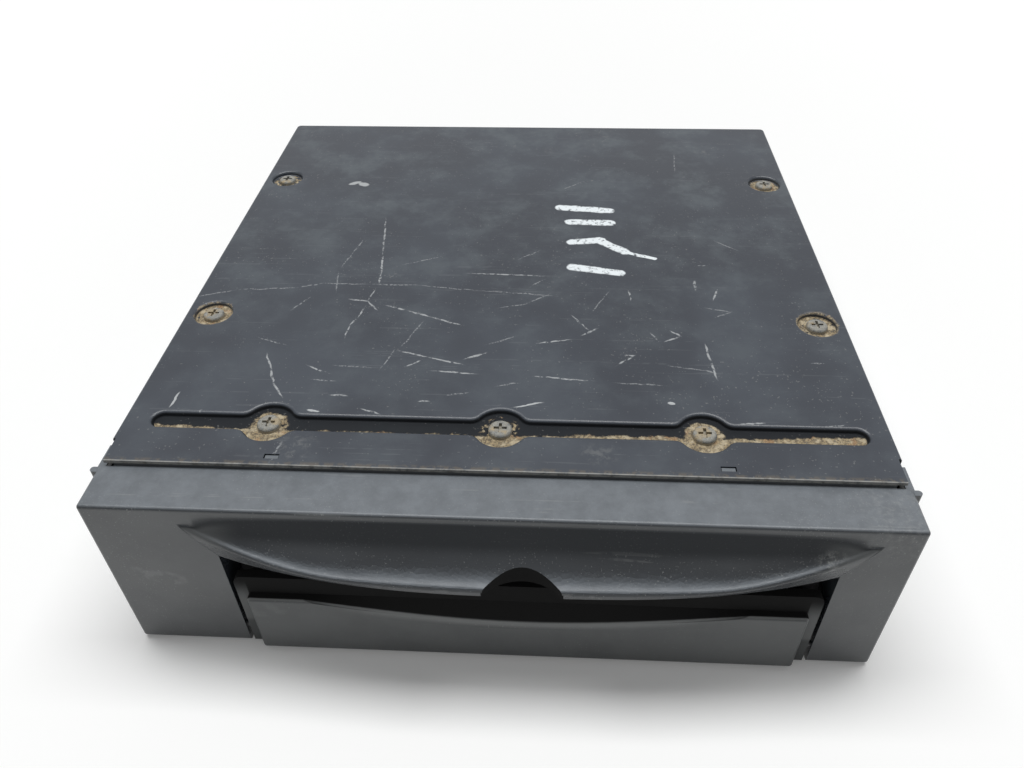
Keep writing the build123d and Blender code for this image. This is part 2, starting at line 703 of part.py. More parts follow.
# Flap with its proud panel, scooped along the top
with BuildPart() as flap_door:
    block(
        (cx - panel_half, cx + panel_half),
        (fascia_front - PANEL_PROUD, fascia_front + 0.5),
        (FLAP_BOTTOM, panel_top),
    )
    fillet(flap_door.edges().filter_by(Axis.Y), 0.8)
    bottom_edge = flap_door.faces().sort_by(Axis.Y)[0].edges().filter_by(Axis.X).sort_by(Axis.Z)[0]
    fillet(bottom_edge, PANEL_EDGE)
    scoop_stations = [cx + s for s in (-70, -58, -46, -34, -22, -11, 0, 11, 22, 34, 46, 58, 70)]
    scoop = loft([scoop_section(x) for x in scoop_stations], mode=Mode.PRIVATE)
    add(scoop, mode=Mode.SUBTRACT)
    with BuildSketch(Plane.XZ.offset(-fascia_front)):
        with Locations((cx, FLAP_BOTTOM + FLAP_HEIGHT / 2)):
            Rectangle(2 * flap_half, FLAP_HEIGHT)
    extrude(amount=-FLAP_PLATE)
    plate_corners = flap_door.edges().filter_by(Axis.Y).filter_by(
        lambda e: abs(abs(e.center().X - cx) - flap_half) < 0.01)
    fillet(plate_corners.group_by(Axis.Z)[-1], FLAP_CORNER)
    for side in (-1, 1):
        # Knuckle behind the plate round the hinge pin
        ends = sorted((cx + side * flap_half, cx + side * (flap_half - HINGE_PIN_BURIED - 2)))
        block(
            ends,
            (hinge_y, hinge_y + 1.9),
            (HINGE_HEIGHT - 1.9, HINGE_HEIGHT + 1.9),
        )
        ends = sorted((cx + side * (flap_half + 1), cx + side * (flap_half - HINGE_PIN_BURIED)))
        rod_x(HINGE_PIN_RADIUS, ends, hinge_y, HINGE_HEIGHT, Mode.SUBTRACT)
    knuckle_edges = flap_door.edges().filter_by(Axis.X).filter_by(
        lambda e: e.center().Y > hinge_y + 1.8)
    fillet(knuckle_edges, 0.8)
write(flap_door, "flap_door")

with BuildPart() as flap_hinge_pins:
    for side in (-1, 1):
        inner = cx + side * (flap_half - HINGE_PIN_BURIED)
        outer = cx + side * (opening_half + HINGE_PIN_ENGAGED - 0.4)
        rod_x(HINGE_PIN_RADIUS, sorted((inner, outer)), hinge_y, HINGE_HEIGHT)
write(flap_hinge_pins, "flap_hinge_pins")

# Inner front with the disc slot, the button hole and the stops that the closed flap rests on
with BuildPart() as slot_bezel:
    bezel_half = opening_half + BEZEL_OVERLAP
    block((cx - bezel_half, cx + bezel_half), (bezel_front, bezel_rear), (BEZEL_BOTTOM, BEZEL_TOP))
    fillet(slot_bezel.edges().filter_by(Axis.Y), 1.0)
    with BuildSketch(Plane.XZ.offset(-bezel_front)):
        with Locations((cx, slot_middle)):
            SlotOverall(2 * slot_half + SLOT_HEIGHT, SLOT_HEIGHT)
    extrude(amount=-BEZEL_THICK - 1, mode=Mode.SUBTRACT)
    for x in (cx - 58, cx - 20, cx + 20, cx + 58):
        block(
            (x - 0.9, x + 0.9),
            (fascia_front + FLAP_PLATE + 0.15, bezel_front + 0.3),
            (HINGE_HEIGHT + 8, FLAP_BOTTOM + FLAP_HEIGHT - 3),
        )
    block(
        (BUTTON_X - BUTTON_WIDTH / 2 - LOOSE_FIT, BUTTON_X + BUTTON_WIDTH / 2 + LOOSE_FIT),
        (bezel_front - 1, bezel_rear + 1),
        (BUTTON_Z - BUTTON_HEIGHT / 2 - LOOSE_FIT, BUTTON_Z + BUTTON_HEIGHT / 2 + LOOSE_FIT),
        Mode.SUBTRACT,
    )
    rod_y(1.5, LIGHT_X, (bezel_front - 1, bezel_rear + 1), BUTTON_Z, Mode.SUBTRACT)
    for x, z in bezel_screw_places:
        rod_y(SMALL_SCREW_RADIUS + 0.2, x, (bezel_front - 1, bezel_rear + 1), z, Mode.SUBTRACT)
    board_boss_places = [(LIGHT_X - 8, BUTTON_Z), (BUTTON_X + 14, BUTTON_Z)]
    for x, z in board_boss_places:
        rod_y(2.4, x, (bezel_rear - 0.3, front_board_face), z)
        rod_y(SMALL_SCREW_RADIUS, x, (bezel_rear - 1, front_board_face + 1), z, Mode.SUBTRACT)
write(slot_bezel, "slot_bezel")

# Felt strips glued along the slot's two edges
with BuildPart() as slot_felts:
    for side in (-1, 1):
        edge = slot_middle + side * SLOT_HEIGHT / 2
        block(
            (cx - slot_half, cx + slot_half),
            (bezel_front + 0.4, bezel_rear - 0.2),
            sorted((edge, edge - side * FELT_THICK)),
        )
write(slot_felts, "slot_felts")

# Screws that hold the inner front to the fascia and the small board to the inner front
with BuildPart() as bezel_screws:
    board_thick_front = 1.2
    for x, z in bezel_screw_places:
        rod_y(SMALL_SCREW_RADIUS, x, (bezel_front - 4.0, bezel_rear), z)
        rod_y(SMALL_SCREW_HEAD, x, (bezel_rear, bezel_rear + 1.2), z)
    for x, z in board_boss_places:
        head = front_board_face + board_thick_front
        rod_y(SMALL_SCREW_RADIUS, x, (bezel_rear - 0.9, head), z)
        rod_y(SMALL_SCREW_HEAD, x, (head, head + 1.2), z)
write(bezel_screws, "bezel_screws")

# Eject button behind the flap
with BuildPart() as eject_button:
    block(
        (BUTTON_X - BUTTON_WIDTH / 2, BUTTON_X + BUTTON_WIDTH / 2),
        (bezel_front - BUTTON_PROUD, bezel_rear + 0.1),
        (BUTTON_Z - BUTTON_HEIGHT / 2, BUTTON_Z + BUTTON_HEIGHT / 2),
    )
    fillet(eject_button.faces().sort_by(Axis.Y)[0].edges(), 0.5)
    block(
        (BUTTON_X - BUTTON_WIDTH / 2 - 1.2, BUTTON_X + BUTTON_WIDTH / 2 + 1.2),
        (bezel_rear + 0.05, bezel_rear + 0.85),
        (BUTTON_Z - BUTTON_HEIGHT / 2 - 1.2, BUTTON_Z + BUTTON_HEIGHT / 2 + 1.2),
    )
    switch_nose = front_board_face - 2.2 - 0.3
    rod_y(1.2, BUTTON_X, (bezel_rear + 0.7, switch_nose - BUTTON_TRAVEL - 0.15), BUTTON_Z)
write(eject_button, "eject_button")

with BuildPart() as eject_switch:
    block(
        (BUTTON_X - 3, BUTTON_X + 3),
        (front_board_face - 2.2, front_board_face),
        (BUTTON_Z - 3, BUTTON_Z + 3),
    )
    rod_y(1.5, BUTTON_X, (switch_nose, front_board_face - 2), BUTTON_Z)
write(eject_switch, "eject_switch")

with BuildPart() as led_light_pipe:
    rod_y(1.5, LIGHT_X, (bezel_front - 0.3, bezel_rear + 0.6), BUTTON_Z)
    rod_y(2.1, LIGHT_X, (bezel_rear, front_board_face - 0.9), BUTTON_Z)
write(led_light_pipe, "led_light_pipe")

with BuildPart() as front_board:
    block(
        (LIGHT_X - 12, BUTTON_X + 18),
        (front_board_face, front_board_face + board_thick_front),
        (BUTTON_Z - 5.5, BUTTON_Z + 5.5),
    )
    for x, z in board_boss_places:
        rod_y(
            SMALL_SCREW_RADIUS,
            x,
            (front_board_face - 1, front_board_face + 3),
            z,
            Mode.SUBTRACT,
        )
    # Lamp behind the light pipe
    block((LIGHT_X - 1, LIGHT_X + 1), (front_board_face - 0.8, front_board_face), (BUTTON_Z - 1, BUTTON_Z + 1))
write(front_board, "front_board")

# Drive deck: folded steel tray under the disc
gear_x_inner = cx - DECK_HALF_WIDTH - 1.6
plane_two = (gear_x_inner - GEAR_WIDTH, gear_x_inner)
plane_one = (plane_two[0] - GEAR_GAP - GEAR_WIDTH, plane_two[0] - GEAR_GAP)
roller_gear_radius = GEAR_MODULE * ROLLER_TEETH / 2
small_radius = GEAR_MODULE * IDLER_SMALL_TEETH / 2
large_radius = GEAR_MODULE * IDLER_LARGE_TEETH / 2
pinion_radius = GEAR_MODULE * PINION_TEETH / 2
idler_reach = roller_gear_radius + small_radius
idler_angle = -15.0
idler_y = roller_y + idler_reach * cos(radians(idler_angle))
idler_z = roller_z + idler_reach * sin(radians(idler_angle))
pinion_reach = large_radius + pinion_radius
pinion_rise = LOADING_AXIS_Z - idler_z
pinion_y = idler_y + sqrt(pinion_reach ** 2 - pinion_rise ** 2)
pinion_angle = degrees(atan2(pinion_rise, pinion_y - idler_y))

lens_y = spindle_y + DISC_INNER_TRACK
sled_front = lens_y - SLED_LENGTH * 0.43
sled_rear = sled_front + SLED_LENGTH
sled_small_radius = GEAR_MODULE * SLED_SMALL_TEETH / 2
sled_large_radius = GEAR_MODULE * SLED_LARGE_TEETH / 2
sled_gear_x = cx - RACK_X - sled_small_radius
sled_pinion_reach = sled_large_radius + pinion_radius
sled_pinion_x = sled_gear_x + sled_pinion_reach * cos(radians(SLED_PINION_ANGLE))
sled_pinion_y = sled_gear_y + sled_pinion_reach * sin(radians(SLED_PINION_ANGLE))
sled_low = (deck_top + 0.5, deck_top + 2.1)
sled_high = (deck_top + 2.3, deck_top + 4.5)

cam_pin_y = arm_pivot_y - CAM_PIN_ARM
cam_pin_z = ARM_PIVOT_Z
cam_fall = CAM_PIN_ARM * sin(radians(ARM_LIFT))
slider_x = (cx - DECK_HALF_WIDTH - 1.4, cx - DECK_HALF_WIDTH - 0.2)
slider_pin_ys = (cam_pin_y - 12.0, cam_pin_y + 12.0)
slider_pin_z = cam_pin_z - 5.8
window_front = spindle_y + ROTOR_RADIUS + 1.5
window_rear = sled_rear + SLED_TRAVEL + 2.0

with BuildPart() as drive_deck:
    deck_x = (cx - DECK_HALF_WIDTH, cx + DECK_HALF_WIDTH)
    block(deck_x, (deck_front, deck_rear), (DECK_HEIGHT, DECK_WALL_TOP))
    fillet(drive_deck.edges().filter_by(Axis.Y).group_by(Axis.Z)[0], 0.9)
    block(
        (cx - deck_inner, cx + deck_inner),
        (deck_front - 1, deck_rear + 1),
        (deck_top, DECK_WALL_TOP + 1),
        Mode.SUBTRACT,
    )
    block(
        (cx - ROD_X + 3.5, cx + ROD_X - 3.5),
        (window_front, window_rear),
        (DECK_HEIGHT - 1, deck_top + 1),
        Mode.SUBTRACT,
    )
    # Tabs that take the top plate's screws
    tab_ys = (deck_front + 62.0, deck_front + 112.0)
    for side in (-1, 1):
        for y in tab_ys:
            ends = sorted((cx + side * (deck_inner + 0.5), cx + side * (deck_inner - 6)))
            block(ends, (y - 4, y + 4), (DECK_WALL_TOP - DECK_SHEET, DECK_WALL_TOP))
            rod_z(
                SMALL_SCREW_RADIUS,
                cx + side * (deck_inner - 3),
                y,
                (DECK_WALL_TOP - 2, DECK_WALL_TOP + 1),
                Mode.SUBTRACT,
            )
    for x, y in grommet_places:
        rod_z(GROMMET_RADIUS - 2, x, y, (DECK_HEIGHT - 1, deck_top + 1), Mode.SUBTRACT)
    # Holes in the side walls
    wall_left = (cx - DECK_HALF_WIDTH - 1, cx - deck_inner + 1)
    wall_right = (cx + deck_inner - 1, cx + DECK_HALF_WIDTH + 1)
    bushing_radius = ROLLER_SHAFT_RADIUS + 1.2
    for wall_x in (wall_left, wall_right):
        rod_x(bushing_radius, wall_x, roller_y, roller_z, Mode.SUBTRACT)
        rod_x(1.2, wall_x, arm_pivot_y, ARM_PIVOT_Z, Mode.SUBTRACT)
    rod_x(1.0, wall_left, idler_y, idler_z, Mode.SUBTRACT)
    rod_x(2.0, wall_left, pinion_y, LOADING_AXIS_Z, Mode.SUBTRACT)
    for y in slider_pin_ys:
        rod_x(0.9, wall_left, y, slider_pin_z, Mode.SUBTRACT)
    block(
        wall_left,
        (cam_pin_y - CAM_PIN_RADIUS - 0.4, cam_pin_y + CAM_PIN_RADIUS + 0.4),
        (cam_pin_z - cam_fall - CAM_PIN_RADIUS - 0.5, cam_pin_z + CAM_PIN_RADIUS + 0.5),
        Mode.SUBTRACT,
    )
    # Holes in the floor for the sled motor's nose, the gear pin and the spindle
    rod_z(2.5, sled_pinion_x, sled_pinion_y, (DECK_HEIGHT - 1, deck_top + 1), Mode.SUBTRACT)
    rod_z(1.0, sled_gear_x, sled_gear_y, (DECK_HEIGHT - 1, deck_top + 1), Mode.SUBTRACT)
    for x in (-36.0, 36.0):
        with BuildSketch(Plane.XY.offset(DECK_HEIGHT)):
            with Locations((cx + x, deck_front + 28)):
                SlotOverall(24, 7)
        extrude(amount=DECK_SHEET + 1, mode=Mode.SUBTRACT)
write(drive_deck, "drive_deck")

with BuildPart() as drive_top_plate:
    plate_z = (DECK_WALL_TOP, DECK_WALL_TOP + DECK_SHEET)
    block(deck_x, (deck_front, deck_rear), plate_z)
    fillet(drive_top_plate.edges().filter_by(Axis.Z), 2.0)
    rod_z(CLAMPER_RADIUS + 3, cx, spindle_y, (DECK_WALL_TOP - 1, DECK_WALL_TOP + 3), Mode.SUBTRACT)
    for side in (-1, 1):
        for y in tab_ys:
            rod_z(
                SMALL_SCREW_RADIUS + 0.2,
                cx + side * (deck_inner - 3),
                y,
                (DECK_WALL_TOP - 1, DECK_WALL_TOP + 2),
                Mode.SUBTRACT,
            )
        rod_z(
            0.9,
            cx + side * LEVER_PIVOT_X,
            lever_pivot_y,
            (DECK_WALL_TOP - 1, DECK_WALL_TOP + 2),
            Mode.SUBTRACT,
        )
        with BuildSketch(Plane.XY.offset(DECK_WALL_TOP)):
            with Locations((cx + side * 38, deck_front + 100)):
                SlotOverall(40, 9, rotation=90)
        extrude(amount=DECK_SHEET + 1, mode=Mode.SUBTRACT)
write(drive_top_plate, "drive_top_plate")

with BuildPart() as top_plate_screws:
    for side in (-1, 1):
        for y in tab_ys:
            x = cx + side * (deck_inner - 3)
            rod_z(SMALL_SCREW_RADIUS, x, y, (plate_z[0] - 1.6, plate_z[1]))
            rod_z(SMALL_SCREW_HEAD, x, y, (plate_z[1], plate_z[1] + 1.2))
            cross_recess(SMALL_SCREW_HEAD, x, y, plate_z[1] + 1.2, 0.7)
write(top_plate_screws, "top_plate_screws")

# Suspension: posts swaged into the floor, soft grommets, shoulder screws
post_top = DECK_HEIGHT - 3.0
grommet_top = deck_top + 2.5
with BuildPart() as damper_posts:
    for x, y in grommet_places:
        rod_z(POST_RADIUS, x, y, (CHASSIS_SHEET, post_top))
        rod_z(POST_RADIUS - 0.8, x, y, (0, CHASSIS_SHEET + 0.2))
        rod_z(SMALL_SCREW_RADIUS, x, y, (post_top - 5, post_top + 1), Mode.SUBTRACT)
write(damper_posts, "damper_posts")

with BuildPart() as damper_grommets:
    for x, y in grommet_places:
        rod_z(GROMMET_RADIUS, x, y, (post_top, DECK_HEIGHT))
        rod_z(GROMMET_RADIUS - 2, x, y, (DECK_HEIGHT - 0.2, deck_top + 0.2))
        rod_z(GROMMET_RADIUS, x, y, (deck_top, grommet_top))
        rod_z(2.0, x, y, (post_top - 1, grommet_top + 1), Mode.SUBTRACT)
write(damper_grommets, "damper_grommets")

with BuildPart() as damper_screws:
    for x, y in grommet_places:
        rod_z(SMALL_SCREW_RADIUS, x, y, (post_top - 4.5, post_top + 0.2))
        rod_z(2.0, x, y, (post_top, grommet_top + 0.2))
        rod_z(4.0, x, y, (grommet_top, grommet_top + 1.2))
        cross_recess(3.4, x, y, grommet_top + 1.2, 0.8)
write(damper_screws, "damper_screws")

# Guide bar over the roller
with BuildPart() as disc_guide:
    block(
        (cx - deck_inner + 0.4, cx + deck_inner - 0.4),
        (deck_front + 0.2, deck_front + 5.8),
        (disc_top + 0.2, DECK_WALL_TOP),
    )
    guide_edges = disc_guide.edges().filter_by(Axis.X).group_by(Axis.Z)[0]
    chamfer(guide_edges, 1.2)
    block(
        (cx - 40, cx + 40),
        (deck_front + 1.8, deck_front + 4.2),
        (disc_top + 2.6, DECK_WALL_TOP + 1),
        Mode.SUBTRACT,
    )
write(disc_guide, "disc_guide")

# Loading roller
with BuildPart() as roller_shaft:
    rod_x(
        ROLLER_SHAFT_RADIUS,
        (plane_two[0], cx + DECK_HALF_WIDTH + 1.6),
        roller_y,
        roller_z,
    )
write(roller_shaft, "roller_shaft")

with BuildPart() as rubber_rollers:
    for side in (-1, 1):
        with BuildSketch(Plane.XY):
            with BuildLine():
                near = cx + side * 4
                far = cx + side * ROLLER_HALF_LENGTH
                Polyline(
                    (near, ROLLER_SHAFT_RADIUS),
                    (near, ROLLER_MID_RADIUS),
                    (far, ROLLER_END_RADIUS),
                    (far, ROLLER_SHAFT_RADIUS),
                    close=True,
                )
            make_face()
        revolve(axis=Axis.X)
rubber_rollers.part = rubber_rollers.part.moved(Location((0, roller_y, roller_z)))
write(rubber_rollers, "rubber_rollers")

with BuildPart() as roller_bushings:
    for side in (-1, 1):
        wall = sorted((cx + side * deck_inner, cx + side * DECK_HALF_WIDTH))
        collar = sorted((cx + side * DECK_HALF_WIDTH, cx + side * (DECK_HALF_WIDTH + 0.7)))
        rod_x(bushing_radius, wall, roller_y, roller_z)
        rod_x(bushing_radius + 1.0, collar, roller_y, roller_z)
    rod_x(
        ROLLER_SHAFT_RADIUS + RUNNING_FIT,
        (cx - DECK_HALF_WIDTH - 2, cx + DECK_HALF_WIDTH + 2),
        roller_y,
        roller_z,
        Mode.SUBTRACT,
    )
write(roller_bushings, "roller_bushings")

# Loading gears, all turning about X
roller_phase = 0.0
idler_small_phase = mesh_phase(roller_phase, ROLLER_TEETH, idler_angle, IDLER_SMALL_TEETH)
idler_large_phase = 0.0
pinion_phase = mesh_phase(idler_large_phase, IDLER_LARGE_TEETH, pinion_angle, PINION_TEETH)

with BuildPart() as roller_gear:
    with BuildSketch(Plane((plane_two[0], roller_y, roller_z), x_dir=(0, 1, 0), z_dir=(1, 0, 0))):
        add(gear_outline(ROLLER_TEETH, roller_phase))
    extrude(amount=GEAR_WIDTH)
    rod_x(
        ROLLER_SHAFT_RADIUS,
        (plane_two[0] - 1, plane_two[1] + 1),
        roller_y,
        roller_z,
        Mode.SUBTRACT,
    )
write(roller_gear, "roller_gear")

gear_pin_radius = 1.0
with BuildPart() as loading_idler:
    with BuildSketch(Plane((plane_two[0], idler_y, idler_z), x_dir=(0, 1, 0), z_dir=(1, 0, 0))):
        add(gear_outline(IDLER_SMALL_TEETH, idler_small_phase))
    extrude(amount=GEAR_WIDTH)
    with BuildSketch(Plane((plane_one[0], idler_y, idler_z), x_dir=(0, 1, 0), z_dir=(1, 0, 0))):
        add(gear_outline(IDLER_LARGE_TEETH, idler_large_phase))
    extrude(amount=GEAR_WIDTH)
    rod_x(small_radius - 0.7, (plane_one[0], plane_two[1] + 0.4), idler_y, idler_z)
    rod_x(
        gear_pin_radius + RUNNING_FIT,
        (plane_one[0] - 1, plane_two[1] + 1),
        idler_y,
        idler_z,
        Mode.SUBTRACT,
    )
write(loading_idler, "loading_idler")

with BuildPart() as loading_pinion:
    with BuildSketch(Plane((plane_one[0], pinion_y, LOADING_AXIS_Z), x_dir=(0, 1, 0), z_dir=(1, 0, 0))):
        add(gear_outline(PINION_TEETH, pinion_phase))
    extrude(amount=GEAR_WIDTH)
    rod_x(0.75, (plane_one[0], cx - deck_inner + 3), pinion_y, LOADING_AXIS_Z)
write(loading_pinion, "loading_pinion")

with BuildPart() as loading_motor:
    length, width, height = LOADING_MOTOR
    motor_x = (cx - deck_inner, cx - deck_inner + length)
    rod_x(width / 2, motor_x, pinion_y, LOADING_AXIS_Z)
    for side in (-1, 1):
        flat = sorted((LOADING_AXIS_Z + side * height / 2, LOADING_AXIS_Z + side * width))
        block(
            (motor_x[0] - 1, motor_x[1] + 1),
            (pinion_y - width, pinion_y + width),
            flat,
            Mode.SUBTRACT,
        )
    rod_x(1.8, (motor_x[0] - DECK_SIDE, motor_x[0]), pinion_y, LOADING_AXIS_Z)
    rod_x(1.8, (motor_x[1], motor_x[1] + 1), pinion_y, LOADING_AXIS_Z)
    rod_x(
        0.75 + RUNNING_FIT,
        (motor_x[0] - 2, motor_x[0] + 3.3),
        pinion_y,
        LOADING_AXIS_Z,
        Mode.SUBTRACT,
    )
    block(
        (motor_x[0] + 1, motor_x[1] - 1),
        (pinion_y - 3, pinion_y + 3),
        (deck_top, LOADING_AXIS_Z - height / 2 + 0.2),
    )
write(loading_motor, "loading_motor")

# Two equal headed pins that carry the idler and the sled gear
gear_pin_length = abs(plane_one[0] - (cx - deck_inner)) + 0.3
with BuildPart() as gear_pins:
    pin_end = cx - deck_inner - gear_pin_length
    rod_x(gear_pin_radius, (pin_end, cx - deck_inner), idler_y, idler_z)
    rod_x(1.7, (pin_end - 0.5, pin_end), idler_y, idler_z)
    pin_top = DECK_HEIGHT + gear_pin_length
    rod_z(gear_pin_radius, sled_gear_x, sled_gear_y, (DECK_HEIGHT, pin_top))
    rod_z(1.7, sled_gear_x, sled_gear_y, (pin_top, pin_top + 0.5))
write(gear_pins, "gear_pins")

# Spindle motor and turntable
rotor_z = (deck_top + 2.4, deck_top + 7.4)
table_z = (rotor_z[1], DISC_PLANE)
with BuildPart() as spindle_stator:
    rod_z(STATOR_RADIUS + 2.0, cx, spindle_y, (deck_top, deck_top + 1.0))
    rod_z(STATOR_RADIUS, cx, spindle_y, (deck_top + 0.8, rotor_z[1] - 1.4))
    rod_z(7.0, cx, spindle_y, (deck_top + 3.0, rotor_z[1]), Mode.SUBTRACT)
    rod_z(3.0, cx, spindle_y, (deck_top + 0.5, rotor_z[1] - 1.4))
    with Locations((cx, spindle_y, deck_top + 4.5)):
        with PolarLocations(9.0, 9):
            Cylinder(0.9, 5.0, mode=Mode.SUBTRACT)
    rod_z(
        SPINDLE_RADIUS + RUNNING_FIT,
        cx,
        spindle_y,
        (deck_top + 0.4, rotor_z[1]),
        Mode.SUBTRACT,
    )
write(spindle_stator, "spindle_stator")

with BuildPart() as spindle_rotor:
    rod_z(ROTOR_RADIUS, cx, spindle_y, rotor_z)
    rod_z(ROTOR_RADIUS - 1.0, cx, spindle_y, (rotor_z[0] - 1, rotor_z[1] - 1.0), Mode.SUBTRACT)
    rod_z(SPINDLE_RADIUS, cx, spindle_y, (deck_top + 0.6, DISC_PLANE + 2.0))
write(spindle_rotor, "spindle_rotor")

with BuildPart() as turntable:
    rod_z(TURNTABLE_RADIUS, cx, spindle_y, (DISC_PLANE - 1.6, DISC_PLANE))
    rod_z(TURNTABLE_RADIUS - 5, cx, spindle_y, (table_z[0], DISC_PLANE))
    with Locations((cx, spindle_y, DISC_PLANE + 1.0)):
        Cone(HUB_RADIUS, HUB_RADIUS - 1.2, 2.0)
    rod_z(SPINDLE_RADIUS, cx, spindle_y, (table_z[0] - 1, DISC_PLANE + 5), Mode.SUBTRACT)
write(turntable, "turntable")

# Pickup sled on its two rods
with BuildPart() as pickup_sled:
    body_z = (deck_top + 1.6, deck_top + 8.4)
    block((cx - SLED_HALF_WIDTH, cx + SLED_HALF_WIDTH), (sled_front, sled_rear), body_z)
    fillet(pickup_sled.edges().filter_by(Axis.Z), 1.5)
    for side in (-1, 1):
        ends = sorted((cx + side * (SLED_HALF_WIDTH - 1), cx + side * (ROD_X + 3.0)))
        block(
            ends,
            (sled_front + 3, sled_rear - 3),
            (ROD_HEIGHT - 1.7 if side > 0 else sled_high[0], ROD_HEIGHT + 3.2),
        )
        rod_y(
            ROD_RADIUS + RUNNING_FIT,
            cx + side * ROD_X,
            (sled_front, sled_rear),
            ROD_HEIGHT,
            Mode.SUBTRACT,
        )
    # The rod side with the rack reaches over to carry it
    block(
        (cx - RACK_X + 0.8, cx - ROD_X - 2.5),
        (sled_front + 5, sled_rear - 5),
        (ROD_HEIGHT + 1.2, ROD_HEIGHT + 3.2),
    )
    # Well for the lens holder
    block(
        (cx - 8.5, cx + 8.5),
        (lens_y - 6, lens_y + 7),
        (deck_top + 5.2, body_z[1] + 1),
        Mode.SUBTRACT,
    )
    # Four fine wires that carry the lens holder
    for side in (-1, 1):
        for z in (deck_top + 6.8, deck_top + 7.9):
            rod_y(0.15, cx + side * 5.0, (lens_y + HOLDER_LENGTH / 2, lens_y + 7.2), z)
write(pickup_sled, "pickup_sled")

rack_pitch = pi * GEAR_MODULE
rack_front = sled_gear_y - SLED_TRAVEL - 3 * rack_pitch
rack_teeth = int((sled_gear_y + 3 * rack_pitch - rack_front) / rack_pitch)
with BuildPart() as sled_rack:
    pitch_x = cx - RACK_X
    back_x = pitch_x + 1.05 * GEAR_MODULE + 1.4
    root_x = pitch_x + 1.05 * GEAR_MODULE
    tip_x = pitch_x - 0.8 * GEAR_MODULE
    lean = tan(radians(PRESSURE_ANGLE))
    half = (rack_pitch / 2 - BACKLASH / 2) / 2
    root_half = half + (root_x - pitch_x) * lean
    tip_half = half - (pitch_x - tip_x) * lean
    first = sled_gear_y + rack_pitch / 2 - rack_pitch * round((sled_gear_y - rack_front) / rack_pitch)
    points = [(back_x, first - rack_pitch), (root_x, first - rack_pitch)]
    for tooth in range(rack_teeth):
        middle = first + tooth * rack_pitch
        points += [
            (root_x, middle - root_half),
            (tip_x, middle - tip_half),
            (tip_x, middle + tip_half),
            (root_x, middle + root_half),
        ]
    last = first + rack_teeth * rack_pitch
    points += [(root_x, last), (back_x, last)]
    with BuildSketch(Plane.XY.offset(sled_high[0])):
        with BuildLine():
            Polyline(*points, close=True)
        make_face()
    extrude(amount=ROD_HEIGHT + 1.2 - sled_high[0])
write(sled_rack, "sled_rack")

rod_front = window_front - 3.5
rod_rear = window_rear + 1.5
with BuildPart() as guide_rods:
    for side in (-1, 1):
        rod_y(ROD_RADIUS, cx + side * ROD_X, (rod_front, rod_rear), ROD_HEIGHT)
write(guide_rods, "guide_rods")

with BuildPart() as rod_holders:
    for side in (-1, 1):
        for y in ((rod_front + 0.3, rod_front + 3.0), (rod_rear - 2.2, rod_rear - 0.3)):
            x = cx + side * ROD_X
            block((x - 3, x + 3), y, (deck_top, ROD_HEIGHT + 2.4))
            rod_y(ROD_RADIUS, x, (y[0] - 1, y[1] + 1), ROD_HEIGHT, Mode.SUBTRACT)
write(rod_holders, "rod_holders")

holder_z = (deck_top + 6.4, deck_top + 9.6)
with BuildPart() as lens_holder:
    block((cx - 6, cx + 6), (lens_y - HOLDER_LENGTH / 2, lens_y + HOLDER_LENGTH / 2), holder_z)
    fillet(lens_holder.edges().filter_by(Axis.Z), 1.2)
    rod_z(2.2, cx, lens_y, (holder_z[0] - 1, holder_z[1] + 1), Mode.SUBTRACT)
    rod_z(2.8, cx, lens_y, (holder_z[1] - 0.8, holder_z[1] + 1), Mode.SUBTRACT)
write(lens_holder, "lens_holder")

with BuildPart() as objective_lens:
    rod_z(2.8, cx, lens_y, (holder_z[1] - 0.8, holder_z[1] + 0.1))
    with Locations((cx, lens_y, holder_z[1] - 0.3)):
        Cone(2.2, 1.0, 1.6)
write(objective_lens, "objective_lens")

# Sled drive gears, all turning about Z
sled_small_phase = 0.0
sled_large_phase = 0.0
sled_pinion_phase = mesh_phase(sled_large_phase, SLED_LARGE_TEETH, SLED_PINION_ANGLE, PINION_TEETH)
with BuildPart() as sled_gear:
    with BuildSketch(Plane((sled_gear_x, sled_gear_y, sled_high[0]))):
        add(gear_outline(SLED_SMALL_TEETH, sled_small_phase))
    extrude(amount=sled_high[1] - sled_high[0] - 0.4)
    with BuildSketch(Plane((sled_gear_x, sled_gear_y, sled_low[0]))):
        add(gear_outline(SLED_LARGE_TEETH, sled_large_phase))
    extrude(amount=sled_low[1] - sled_low[0] - 0.1)
    hub_z = (sled_low[0] - 0.3, DECK_HEIGHT + gear_pin_length - 0.15)
    rod_z(sled_small_radius - 0.7, sled_gear_x, sled_gear_y, hub_z)
    rod_z(
        gear_pin_radius + RUNNING_FIT,
        sled_gear_x,
        sled_gear_y,
        (deck_top - 1, hub_z[1] + 1),
        Mode.SUBTRACT,
    )
write(sled_gear, "sled_gear")

sled_motor_z = (DECK_HEIGHT - 8.5, DECK_HEIGHT)
with BuildPart() as sled_pinion:
    with BuildSketch(Plane((sled_pinion_x, sled_pinion_y, sled_low[0]))):
        add(gear_outline(PINION_TEETH, sled_pinion_phase))
    extrude(amount=sled_low[1] - sled_low[0])
    rod_z(0.75, sled_pinion_x, sled_pinion_y, (sled_motor_z[0] + 4, sled_low[1]))
write(sled_pinion, "sled_pinion")

with BuildPart() as sled_motor:
    rod_z(6.0, sled_pinion_x, sled_pinion_y, sled_motor_z)
    fillet(sled_motor.edges().group_by(Axis.Z)[0], 0.8)
    rod_z(2.4, sled_pinion_x, sled_pinion_y, (sled_motor_z[1] - 0.1, deck_top))
    rod_z(
        0.75 + RUNNING_FIT,
        sled_pinion_x,
        sled_pinion_y,
        (sled_motor_z[0] + 3.7, deck_top + 1),
        Mode.SUBTRACT,
    )
write(sled_motor, "sled_motor")

